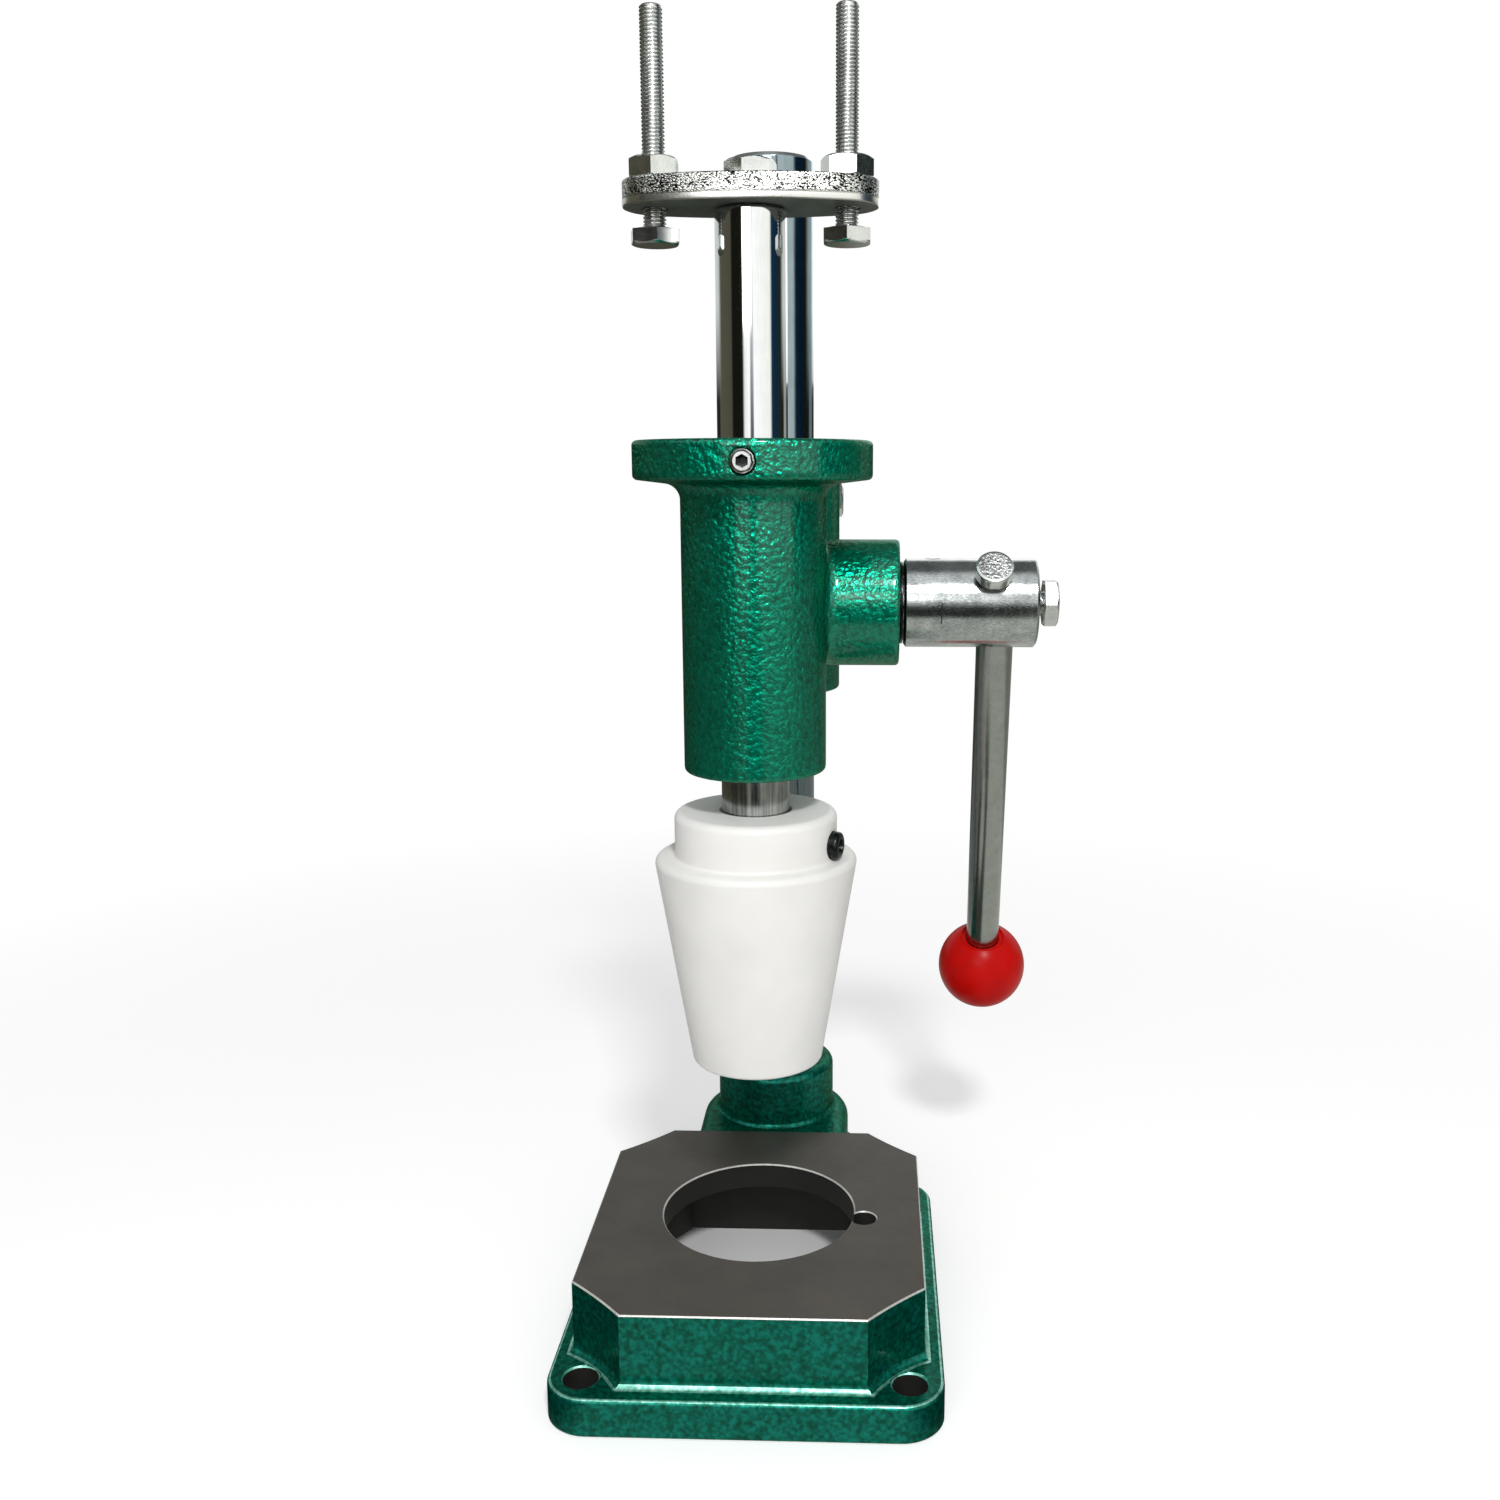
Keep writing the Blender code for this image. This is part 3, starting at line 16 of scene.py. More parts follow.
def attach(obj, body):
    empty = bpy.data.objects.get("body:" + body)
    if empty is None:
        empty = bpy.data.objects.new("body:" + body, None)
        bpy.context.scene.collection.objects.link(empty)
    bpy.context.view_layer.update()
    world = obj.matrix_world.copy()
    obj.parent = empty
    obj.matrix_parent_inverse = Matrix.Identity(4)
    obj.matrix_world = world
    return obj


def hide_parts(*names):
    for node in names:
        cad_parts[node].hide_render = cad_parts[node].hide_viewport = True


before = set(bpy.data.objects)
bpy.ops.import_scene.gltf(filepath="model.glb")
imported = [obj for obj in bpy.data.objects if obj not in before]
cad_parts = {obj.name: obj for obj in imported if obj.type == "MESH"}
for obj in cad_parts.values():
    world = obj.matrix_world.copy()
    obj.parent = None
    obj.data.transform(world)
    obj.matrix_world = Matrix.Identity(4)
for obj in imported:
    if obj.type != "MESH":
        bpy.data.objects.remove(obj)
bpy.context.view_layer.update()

MM = 0.001
X, Y, Z = (1, 0, 0), (0, 1, 0), (0, 0, 1)
BACK_X, FRONT, DOWN = (-1, 0, 0), (0, -1, 0), (0, 0, -1)

# %% [markdown]
# Every made piece is one closed surface. Most are rows of points with as many points in each row,
# skinned like a stack of hoops: a turned part has circles for rows, a casting has the outlines of
# its plan. Grids keep the whole shape in a few numpy arrays, and the corner of a row follows from
# its formula, so an edge gets its true round instead of a hard crease.

# %% Rows of points, skinned
SAME_POINT, SLIVER = 1e-7, 1e-8


def grid_faces(rows, columns, loop=False):
    """Quads between neighbours of a grid whose columns close: point (i, j) has number i * columns + j."""
    i = np.arange(rows if loop else rows - 1)[:, None]
    j = np.arange(columns)[None, :]
    up, right = (i + 1) % rows, (j + 1) % columns
    quads = [i * columns + j, i * columns + right, up * columns + right, up * columns + j]
    return np.stack(quads, axis=-1).reshape(-1, 4)


def smoothed(made, sharp=32.0):
    """Smooth shading, with an edge kept crisp where its faces meet at more than the given angle."""
    made.data.shade_smooth()
    made.data.set_sharp_from_angle(angle=math.radians(sharp))
    return made


def new_piece(name, points, faces, materials=(), sharp=32.0):
    """Put points in millimetres and faces into a mesh object at the origin, pointing outwards."""
    mesh = bpy.data.meshes.new(name)
    mesh.from_pydata(np.asarray(points, float).reshape(-1, 3) * MM, [], faces)
    shape = bmesh.new()
    shape.from_mesh(mesh)
    bmesh.ops.remove_doubles(shape, verts=shape.verts, dist=SAME_POINT)
    bmesh.ops.dissolve_degenerate(shape, edges=shape.edges, dist=SLIVER)
    bmesh.ops.recalc_face_normals(shape, faces=shape.faces)
    shape.to_mesh(mesh)
    shape.free()
    for material in materials:
        mesh.materials.append(material)
    made = bpy.data.objects.new(name, mesh)
    bpy.context.scene.collection.objects.link(made)
    return smoothed(made, sharp)


def skinned(name, rows, materials=(), loop=False, sharp=32.0):
    """Join rows to one closed surface: capped at both ends, or closed to a tube when they loop."""
    rows = np.asarray(rows, float)
    count, columns = rows.shape[:2]
    faces = grid_faces(count, columns, loop).tolist()
    if not loop:
        faces.append(list(range(columns))[::-1])
        faces.append(list(range((count - 1) * columns, count * columns)))
    return new_piece(name, rows, faces, materials, sharp)


print("a closed grid of four rows of six points:", len(grid_faces(4, 6)), "quads")

# %% [markdown]
# A lathe turns a profile, and a plan is drawn with straight edges and radii. Both are paths with
# rounded corners, so one function serves both: it swaps each corner for an arc that touches the
# two edges. A Bevel modifier could round the edges too, but a path gives each edge its own radius.

# %% Rounded paths
def softened(corners, closed=False, steps=6):
    """Corners (x, y, radius) as a path. An arc's centre lies radius / sin(half the corner's angle)
    along the bisector, and the arc starts radius / tan(half) along either edge."""
    flat = np.array([corner[:2] for corner in corners], float)
    parts = []
    for k, (_, _, radius) in enumerate(corners):
        if not radius or (not closed and k in (0, len(corners) - 1)):
            parts.append(flat[k][None])
            continue
        back = flat[k - 1] - flat[k]
        ahead = flat[(k + 1) % len(corners)] - flat[k]
        back, ahead = back / np.hypot(*back), ahead / np.hypot(*ahead)
        half = math.acos(np.clip(back @ ahead, -1, 1)) / 2
        bisector = (back + ahead) / np.hypot(*(back + ahead))
        centre = flat[k] + bisector * radius / math.sin(half)
        start = flat[k] + back * radius / math.tan(half) - centre
        end = flat[k] + ahead * radius / math.tan(half) - centre
        sweep = math.atan2(start[0] * end[1] - start[1] * end[0], start @ end)
        turn = np.linspace(0, sweep, steps + 1)[:, None]
        parts.append(centre + np.cos(turn) * start + np.sin(turn) * np.array([-start[1], start[0]]))
    return np.concatenate(parts)


square = [(0, 0, 1), (9, 0, 1), (9, 9, 1), (0, 9, 1)]
print("a square with round corners:", len(softened(square, closed=True)), "points")

# %% [markdown]
# A turned part is its profile carried round an axis, and a cast plate is an outline lifted through
# a few heights. Both give rows for skinned. A part is made upright at the origin, then tipped and
# moved in its points, so the object itself stays unturned.

# %% Turned and lifted parts
def circles(profile, sides):
    """One circle round Z for each (radius, height) of a profile."""
    turn = 2 * np.pi * np.arange(sides) / sides
    radius, height = np.asarray(profile, float).T[:, :, None]
    return np.stack([radius * np.cos(turn), radius * np.sin(turn), height + 0 * turn], axis=-1)


def placed(points, at=(0, 0, 0), along=Z, turn=0.0):
    """Points turned round Z, tipped so that Z runs along a direction, and moved to a place."""
    facing = Vector(along).to_track_quat("Z", "Y").to_matrix() @ Matrix.Rotation(turn, 3, "Z")
    return np.asarray(points, float) @ np.array(facing).T + np.array(at, float)


def turned(name, corners, materials=(), at=(0, 0, 0), along=Z, turn=0.0, sides=96, steps=6,
           loop=False, sharp=32.0):
    """A turned part: the rounded profile (radius, height, rounding) carried round its axis."""
    rows = circles(softened(corners, closed=loop, steps=steps), sides)
    return skinned(name, placed(rows, at, along, turn), materials, loop, sharp)


def lifted(outlines):
    """Rows from (outline, height) pairs."""
    return np.stack([np.column_stack([line, np.full(len(line), z)]) for line, z in outlines])


print("two circles of eight points:", circles([(1, 0), (1, 2)], 8).shape)

# %% [markdown]
# Colours are written as a painter would pick them, in sRGB, and turned to linear light by one
# function. Patterns are worked out in millimetres: a noise of scale s repeats about every 1 / s
# metres, so its scale is one over the real size of a grain.

# %% Colour and scale
def linear(hex_colour):
    """sRGB hex to linear RGBA: c / 12.92 below 0.04045, else ((c + 0.055) / 1.055) ** 2.4."""
    parts = [int(hex_colour[i:i + 2], 16) / 255 for i in (1, 3, 5)]
    return (*[c / 12.92 if c <= 0.04045 else ((c + 0.055) / 1.055) ** 2.4 for c in parts], 1)


def per_mm(size):
    """The scale of a pattern whose grain has this size in millimetres."""
    return 1 / (size * MM)


print("mid grey in linear light:", round(linear("#808080")[0], 3), "- a 2 mm grain has scale", per_mm(2))

# %% [markdown]
# A material is a tree of small steps, and each step is a node whose sockets are fed by numbers,
# colours or other nodes. One function adds any of them, so that a finish reads as a sum does.

# %% Nodes
def node(tree, kind, *values, stops=(), **settings):
    """Add a node. A kind such as "Math ADD" names its operation too. Values go to its open sockets in
    order, and Scale=... to the socket of that name (_ for a space): a number is set, a hex colour
    is set in linear light, and a node or an output is linked. Settings in small letters are
    attributes, and stops are the (place, colour) pairs of a colour ramp."""
    kind, *operation = kind.split()
    made = tree.nodes.new("ShaderNode" + kind)
    if operation:
        made.operation = operation[0]
    for key in filter(str.islower, settings):
        setattr(made, key, settings[key])
    feeds = list(zip([socket for socket in made.inputs if socket.enabled], values))
    feeds += [(made.inputs[key.replace("_", " ")], settings[key]) for key in settings if not key.islower()]
    for socket, value in feeds:
        if isinstance(value, bpy.types.Node):
            value = next(output for output in value.outputs if output.enabled)
        if isinstance(value, bpy.types.NodeSocket):
            tree.links.new(value, socket)
        else:
            socket.default_value = linear(value) if isinstance(value, str) else value
    for _ in stops[2:]:
        made.color_ramp.elements.new(0.5)
    for point, (place, colour) in zip(made.color_ramp.elements if stops else (), stops):
        point.position, point.color = place, linear(colour)
    return made


def new_material(name):
    """A material, its empty node tree and the place on the piece, in metres."""
    material = bpy.data.materials.new(name)
    material.use_nodes = True
    material.node_tree.nodes.clear()
    print("material:", name)
    return material, material.node_tree, node(material.node_tree, "TexCoord").outputs["Object"]


# %% [markdown]
# Hammertone enamel is a stoved paint with fine aluminium flakes, whose silicone pulls it into small
# dimples while it dries. The flakes make it bright where it faces the light and deep green at the
# edges, so a part of it behaves as green metal, and the binder lies over it as a thin clear coat.
# Each dimple is a shallow bowl with a raised rim that glints. A smooth cell pattern gives the
# bowls, noise bends them so that they aren't regular, and the paint is paler on the rims. The coat's
# index of 2.4 is more than a binder's 1.5, because the flakes near its top glint with it. The head
# has coarse pebbles, higher near the flange, and the base has finer and flatter ones. A pale enamel
# with a strong coat paints the highlight lines along the base's outer edges.

# %% Hammertone enamel
ROUGH_FROM, ROUGH_TO = 235, 310


def hammertone(name, pebble, depth, deep, middle, pale, gloss, clear):
    """Green enamel with pebbles of a given size and depth in millimetres. The pebbles are a grain
    less 0.6 of the distance to a bent cell's middle. They grow between two heights on the press."""
    material, tree, where = new_material(name)
    bend = node(tree, "TexNoise", Vector=where, Scale=per_mm(pebble * 1.6)).outputs["Color"]
    shift = node(tree, "VectorMath SCALE", bend, Scale=pebble * MM * 1.2)
    bent = node(tree, "VectorMath ADD", where, shift)
    cells = node(tree, "TexVoronoi", Vector=bent, Scale=per_mm(pebble), Smoothness=0.7, feature="SMOOTH_F1")
    grain = node(tree, "TexNoise", Vector=where, Scale=per_mm(pebble * 0.8), Detail=1.0)
    cloud = node(tree, "TexNoise", Vector=where, Scale=per_mm(pebble * 7), Detail=3.0)
    pebbles = node(tree, "Math SUBTRACT", grain, node(tree, "Math MULTIPLY", cells, 0.6))
    tone = node(tree, "Math ADD", node(tree, "MapRange", pebbles, -0.2, 0.45),
                node(tree, "Math MULTIPLY", cloud, 0.4))
    colour = node(tree, "ValToRGB", node(tree, "MapRange", tone, 0.3, 1.2),
                  stops=[(0, deep), (0.5, middle), (1, pale)])
    height = node(tree, "SeparateXYZ", where).outputs["Z"]
    coarse = node(tree, "MapRange", height, ROUGH_FROM * MM, ROUGH_TO * MM, 0.45, 0.85)
    uneven = node(tree, "Math ADD", coarse, node(tree, "Math MULTIPLY", cloud, 0.3))
    relief = node(tree, "Bump", Distance=depth * MM, Height=node(tree, "Math MULTIPLY", pebbles, uneven))
    paint = node(tree, "BsdfPrincipled", Base_Color=colour, Metallic=0.8, Normal=relief,
                 Roughness=node(tree, "MapRange", cloud, 0.3, 0.7, gloss, gloss + 0.05),
                 Specular_IOR_Level=0.2, Specular_Tint="#4FA88C",
                 Coat_Weight=clear, Coat_IOR=2.4, Coat_Roughness=0.14)
    node(tree, "OutputMaterial", paint)
    return material


ENAMEL_HEAD = hammertone("hammertone_enamel_coarse", 2.1, 0.75, "#00694F", "#007F62", "#048E70", 0.29, 0.17)
ENAMEL_BASE = hammertone("hammertone_enamel_fine", 2.0, 0.25, "#004E3B", "#006654", "#0C8271", 0.34, 0.06)
# A pale copy with a strong coat is a painted highlight for the bright lines along edges.
ENAMEL_PAINTED_HIGHLIGHT = hammertone("hammertone_enamel_painted_highlight", 2.0, 0.1, "#3F9C83", "#74C4AE", "#A9E2D2", 0.30, 0.5)

# %% [markdown]
# The table is grey cast iron, faced on a shaper. It is darker and warmer than steel, and its gloss
# is broken by the cutter's fine lines, which run from side to side, and by pores.

# %% Machined cast iron
def machined_iron():
    """Three quarters of a cloud and one of the cutter's lines make the tone. Real shaper lines are
    about 0.2 mm apart, and 0.5 mm is the finest that shows here."""
    material, tree, where = new_material("machined_cast_iron")
    across = node(tree, "Mapping", where, Scale=(0.12, 1, 1))
    lines = node(tree, "TexNoise", Vector=across, Scale=per_mm(0.5), Detail=3.0)
    cloud = node(tree, "TexNoise", Vector=where, Scale=per_mm(22), Detail=4.0, Roughness=0.6)
    pores = node(tree, "TexNoise", Vector=where, Scale=per_mm(0.9))
    tone = node(tree, "Math ADD", node(tree, "Math MULTIPLY", cloud, 0.75),
                node(tree, "Math MULTIPLY", lines, 0.25))
    colour = node(tree, "ValToRGB", node(tree, "MapRange", tone, 0.3, 0.7),
                  stops=[(0, "#46423C"), (0.5, "#4D4943"), (1, "#555049")])
    relief = node(tree, "Bump", Distance=0.02 * MM, Height=node(tree, "Math ADD", lines, pores))
    iron = node(tree, "BsdfPrincipled", Base_Color=colour, Metallic=0.2, Normal=relief,
                Roughness=node(tree, "MapRange", lines, 0.3, 0.7, 0.42, 0.58))
    node(tree, "OutputMaterial", iron)
    return material


IRON = machined_iron()

# %% [markdown]
# The other metals differ in colour, gloss and grain alone: a tone that wanders between two
# colours, a gloss that wanders with it, and a grain that is drawn out along the bar or round the
# axis where the work was ground, drawn or turned.

# %% Metals
def plain_metal(name, low, high, roughness, metallic=1.0, grain=0.8, depth=0.01, stretch=(1, 1, 1)):
    """The tone is the mean of a grain and of a cloud twelve times as large. A small number in
    stretch draws the grain out along that axis. Grain and depth are in millimetres."""
    material, tree, where = new_material(name)
    drawn = where if stretch == (1, 1, 1) else node(tree, "Mapping", where, Scale=stretch)
    fine = node(tree, "TexNoise", Vector=drawn, Scale=per_mm(grain), Detail=3.0)
    cloud = node(tree, "TexNoise", Vector=where, Scale=per_mm(grain * 12), Detail=3.0)
    tone = node(tree, "Math ADD", node(tree, "Math MULTIPLY", fine, 0.5),
                node(tree, "Math MULTIPLY", cloud, 0.5))
    colour = node(tree, "ValToRGB", node(tree, "MapRange", tone, 0.3, 0.7), stops=[(0, low), (1, high)])
    metal = node(tree, "BsdfPrincipled", Base_Color=colour, Metallic=metallic,
                 Roughness=node(tree, "MapRange", tone, 0.3, 0.7, roughness * 0.85, roughness * 1.2),
                 Normal=node(tree, "Bump", Distance=depth * MM, Height=fine))
    node(tree, "OutputMaterial", metal)
    return material


# Freshly cut edges are bright bare metal, made paler still as a painted highlight. Bores are left as the
# drill or the core left them, oiled, and painted near black as their shade.
IRON_EDGE_HIGHLIGHT = plain_metal("machined_iron_edge_painted_highlight", "#B9B7B1", "#E8E7E2", 0.35, 0.4)
RAW_IRON_SHADED = plain_metal("raw_drilled_iron_painted_shade", "#0E0D0C", "#201E1B", 0.7, 0.3)
# Ground hard chrome is a mirror with faint lines along the bar. The column's chrome is darker, bluer and a
# little rougher.
CHROME = plain_metal("hard_chrome_ground", "#DADCDC", "#E6E7E7", 0.06, 1.0, 0.5, 0.002, (1, 1, 0.05))
CHROME_DARKER = plain_metal("hard_chrome_darker_bluish", "#7D8C93", "#9AA8AD", 0.10, 1.0, 0.9, 0.006, (1, 1, 0.05))
# Zinc plate is pale and a little soft. Dirt and shade dull it in the valleys of a thread.
ZINC = plain_metal("zinc_plated_steel", "#C2C4C1", "#EAEBE8", 0.20, 1.0, 0.45, 0.006)
ZINC_VALLEY = plain_metal("zinc_plated_thread_valley", "#8C8E8C", "#AEB0AD", 0.4, 0.9, 0.45, 0.004)
# A forged head's top keeps the die's rough skin, and its black and white specks are that skin and painted
# glints.
FORGED_TOP_GLINTS = plain_metal("zinc_plated_forged_top_painted_glints", "#1B1C1B", "#DCDEDB", 0.30, 1.0, 1.0, 0.4)
# Turned steel has rings round its axis, and drawn steel has lines along its own. The ram's end has such lines
# too, and is darker as painted shade under the head.
TURNED = plain_metal("turned_bright_steel", "#858A8A", "#D3D6D4", 0.17, 1.0, 0.5, 0.022, (0.45, 1, 1))
SHADED_RAM_END = plain_metal("streaked_steel_ram_end_painted_shade", "#5B5E5C", "#DEE0DD", 0.18, 1.0, 0.9, 0.02, (1, 1, 0.04))
SATIN = plain_metal("satin_drawn_steel", "#979A95", "#B0B3AD", 0.19, 1.0, 0.4, 0.004, (1, 1, 0.06))
# Black oxide is a thin dark film that leaves the metal's gloss.
BLACK_OXIDE = plain_metal("black_oxide_steel", "#222425", "#363839", 0.26, 1.0)
BRONZE = plain_metal("bearing_bronze", "#8A6436", "#A9824C", 0.35, 1.0)
# The stop plate's underside is a plain darker grey.
DARK_GREY_UNDERSIDE = plain_metal("plate_underside_darker_grey", "#50524C", "#7C7F78", 0.5, 0.6, 1.2, 0.02)

# %% [markdown]
# The stop plate is a sheared and galvanised blank. On the upper two thirds of its edge, where the
# metal tore, it has a coarse crystalline coat, and below, where the blade cut, a smoother and
# brighter band. Close stops in the colour ramp make the crystals, and the coat is a little darker
# towards the plate's ends.

# %% Galvanised plate
PLATE_LOW, PLATE_HIGH = 414.0, 423.0
CLEAN_BAND, COAT_FROM = 2.4, 3.2


def galvanised():
    """Crystals of about 0.6 mm in patches of 6 mm. The coat fades in above the clean band."""
    material, tree, where = new_material("galvanised_steel_plate")
    flattened = node(tree, "Mapping", where, Scale=(0.8, 0.8, 1.3))
    grit = node(tree, "TexNoise", Vector=flattened, Scale=per_mm(0.62), Detail=1.5, Roughness=0.55)
    patch = node(tree, "TexNoise", Vector=where, Scale=per_mm(6))
    spot = node(tree, "SeparateXYZ", where)
    off_middle = node(tree, "Math ABSOLUTE", node(tree, "Math ADD", spot.outputs["X"], 4 * MM))
    ends = node(tree, "MapRange", off_middle, 12 * MM, 45 * MM, 0.03, -0.05)
    patchy = node(tree, "Math ADD", grit, node(tree, "Math MULTIPLY", patch, 0.35))
    tone = node(tree, "Math ADD", patchy, ends)
    low, high = (PLATE_LOW + CLEAN_BAND) * MM, (PLATE_LOW + COAT_FROM) * MM
    band = node(tree, "MapRange", spot.outputs["Z"], low, high)
    crystals = node(tree, "ValToRGB", node(tree, "MapRange", tone, 0.5, 0.9),
                    stops=[(0, "#0C0D0B"), (0.28, "#1E201B"), (0.46, "#D6D8D2"), (1, "#FAFAF5")])
    colour = node(tree, "Mix", band, "#DEDED8", crystals, data_type="RGBA")
    height = node(tree, "Math MULTIPLY", tone, node(tree, "Math ADD", 0.1, band))
    coat = node(tree, "BsdfPrincipled", Base_Color=colour, Metallic=1.0, Roughness=0.26,
                Normal=node(tree, "Bump", Distance=0.2 * MM, Height=height))
    node(tree, "OutputMaterial", coat)
    return material


GALVANISED = galvanised()

# %% [markdown]
# The base is an iron casting: a foot plate, a plinth with hollowed corners that leave room for the
# bolts, and a tongue and socket for the column. Its plan is made of outlines that can be inset,
# and all outlines of one kind have as many points, so that they can be skinned.

# %% Outlines of the base
RAM_Y = -102.4
FOOT_HIGH, TABLE_HIGH, SOCKET_HIGH, TONGUE_HIGH = 14.0, 41.5, 62.5, 38.8
TABLE_HALF, TABLE_FRONT, TABLE_REAR, TABLE_CORNER, TABLE_HOLLOW = 63.0, -175.3, -34.8, 20.2, 2.1
FOOT_HALF, FOOT_FRONT, FOOT_REAR, FOOT_CORNER, FOOT_FILLET = 69.7, -182.9, -24.4, 15.5, 6
TONGUE_RADIUS, TONGUE_RIM, SOCKET_RADIUS = 33.0, 8, 26.0


def arc_between(start, end, depth, steps=10):
    """A shallow arc from start to end that bends inward by depth: its radius follows from the
    chord c as (c * c / 4 + depth * depth) / (2 * depth)."""
    start, end = np.array(start, float), np.array(end, float)
    chord = end - start
    length = np.hypot(*chord)
    radius = (length**2 / 4 + depth**2) / (2 * depth)
    inward = np.array([-chord[1], chord[0]]) / length
    centre = (start + end) / 2 + inward * (depth - radius)
    arm, last = start - centre, end - centre
    sweep = math.atan2(arm[0] * last[1] - arm[1] * last[0], arm @ last)
    turn = np.linspace(0, sweep, steps + 1)[:, None]
    return centre + np.cos(turn) * arm + np.sin(turn) * np.array([-arm[1], arm[0]])


def plinth_outline(inset=0.0, hollow=TABLE_HOLLOW):
    """The table's plan: straight sides, and corners cut off by a hollow arc."""
    half, front, rear, c = TABLE_HALF - inset, TABLE_FRONT + inset, TABLE_REAR - inset, TABLE_CORNER
    ends = [((half, rear - c), (half - c, rear)), ((c - half, rear), (-half, rear - c)),
            ((-half, front + c), (c - half, front)), ((half - c, front), (half, front + c))]
    return np.concatenate([arc_between(a, b, hollow) for a, b in ends])


def foot_outline(inset=0.0):
    """The foot's plan: a rounded rectangle with a tongue behind it, joined by fillets."""
    half, tongue = FOOT_HALF - inset, TONGUE_RADIUS + TONGUE_RIM - inset
    front, rear = FOOT_FRONT + inset, FOOT_REAR - inset
    corner, fillet = FOOT_CORNER - inset, FOOT_FILLET + inset
    corners = [(half, rear, corner), (tongue, rear, fillet), (tongue, tongue, tongue),
               (-tongue, tongue, tongue), (-tongue, rear, fillet), (-half, rear, corner),
               (-half, front, corner), (half, front, corner)]
    return softened(corners, closed=True, steps=14)


def tongue_outline(inset=0.0):
    """The tongue's plan: it starts inside the plinth and ends in a half circle."""
    radius, inside = TONGUE_RADIUS - inset, TABLE_REAR - 4.5
    corners = [(radius, inside, 0), (radius, radius, radius), (-radius, radius, radius), (-radius, inside, 0)]
    return softened(corners, closed=True, steps=16)


print("foot in plan:", np.ptp(foot_outline(), axis=0).round(1), "mm")

# %% [markdown]
# A cast corner is never sharp. Inside corners get a fillet, or cove, so that the iron flows, and
# outside edges get a round, or brow, so that the mould doesn't crumble. Both are quarter circles, so
# the outline's inset and height follow from one angle.

# %% Coves and brows
def cove(outline, low, radius, steps=6):
    """Rows of a fillet that widens an outline by its radius at the foot: at angle t the outline
    stands out by radius * (1 - sin t) at height radius * (1 - cos t)."""
    t = np.linspace(0, np.pi / 2, steps + 1)
    return [(outline(-radius * (1 - math.sin(a))), low + radius * (1 - math.cos(a))) for a in t]


def brow(outline, high, radius, steps=6):
    """Rows of an outer round at the top: the outline draws in by radius * (1 - cos t)."""
    t = np.linspace(0, np.pi / 2, steps + 1)
    return [(outline(radius * (1 - math.cos(a))), high - radius * (1 - math.sin(a))) for a in t]


print("rows of a 3 mm cove:", len(cove(plinth_outline, 0, 3)))

# %% [markdown]
# Holes are drilled with closed cutters, as in the shop. The Manifold solver is quick and exact on
# closed solids and gives a closed solid back. The result is taken as a new mesh at once, because
# the cutters are deleted.

# %% Cut and join
def combined(target, tools, operation="DIFFERENCE"):
    """Cut a piece by others or unite it with them, one after another, and drop these others."""
    for tool in tools:
        change = target.modifiers.new(tool.name, "BOOLEAN")
        change.operation = operation
        change.solver = "MANIFOLD"
        change.object = tool
    view = bpy.context.evaluated_depsgraph_get()
    made = bpy.data.meshes.new_from_object(target.evaluated_get(view))
    target.modifiers.clear()
    target.data = made
    print(f"{target.name}: {operation.lower()} with {', '.join(tool.name for tool in tools)}")
    for tool in tools:
        bpy.data.objects.remove(tool, do_unlink=True)
    return smoothed(target)


# %% [markdown]
# The foot, the plinth, the tongue and the socket are stacks of outlines that overlap, and they are
# united to one solid. The plinth's corners are hollow at the foot and nearly straight at the
# table, so its hollow shrinks row by row.

# %% Body of the base
COVE, FOOT_BROW, TONGUE_BROW, ROOT = 3.0, 1.8, 6.0, 7
UNDERCUT = TONGUE_HIGH - 0.35
HOLLOW_STEPS, HOLLOW_RISE, HOLLOW_LOSS, HOLLOW_TOP = (1, 2, 3, 4, 5), 4.6, 0.3, 0.6


def base_body():
    """The foot with the plinth, the tongue and the socket on it, before any hole is cut."""
    foot = skinned("base_casting_fine", lifted(
        [(foot_outline(0.5), 0), (foot_outline(), 0.5)] + brow(foot_outline, FOOT_HIGH, FOOT_BROW)))
    walls = [(plinth_outline(0, TABLE_HOLLOW - step * HOLLOW_LOSS), FOOT_HIGH + COVE + step * HOLLOW_RISE)
             for step in HOLLOW_STEPS]
    rim = [(plinth_outline(inset, HOLLOW_TOP), TABLE_HIGH - drop)
           for inset, drop in ((0, 0.6), (0.1, 0.4), (0.4, 0.1), (0.6, 0))]
    plinth = skinned("plinth", lifted(
        [(plinth_outline(-COVE), ROOT)] + cove(plinth_outline, FOOT_HIGH, COVE) + walls + rim))
    tongue = skinned("tongue", lifted([(tongue_outline(-COVE), ROOT)] + cove(tongue_outline, FOOT_HIGH, COVE)
                                      + brow(tongue_outline, TONGUE_HIGH, TONGUE_BROW)))
    socket = turned("socket", [
        (12, 20, 0), (28.6, 20, 0), (28.6, UNDERCUT, 0), (SOCKET_RADIUS, UNDERCUT, 2.4),
        (SOCKET_RADIUS, SOCKET_HIGH, 3.5), (12, SOCKET_HIGH, 0)])
    return combined(foot, [plinth, tongue, socket], "UNION")


base = base_body()
print("base as cast:", len(base.data.polygons), "faces")

# %% [markdown]
# The casting is hollow below, and the machine shop bores the die hole with its small side notch,
# the column's socket, the set screw's hole and the four foot holes. Each cutter is a turned solid
# whose profile includes the chamfer, so hole and chamfer are cut in one go.

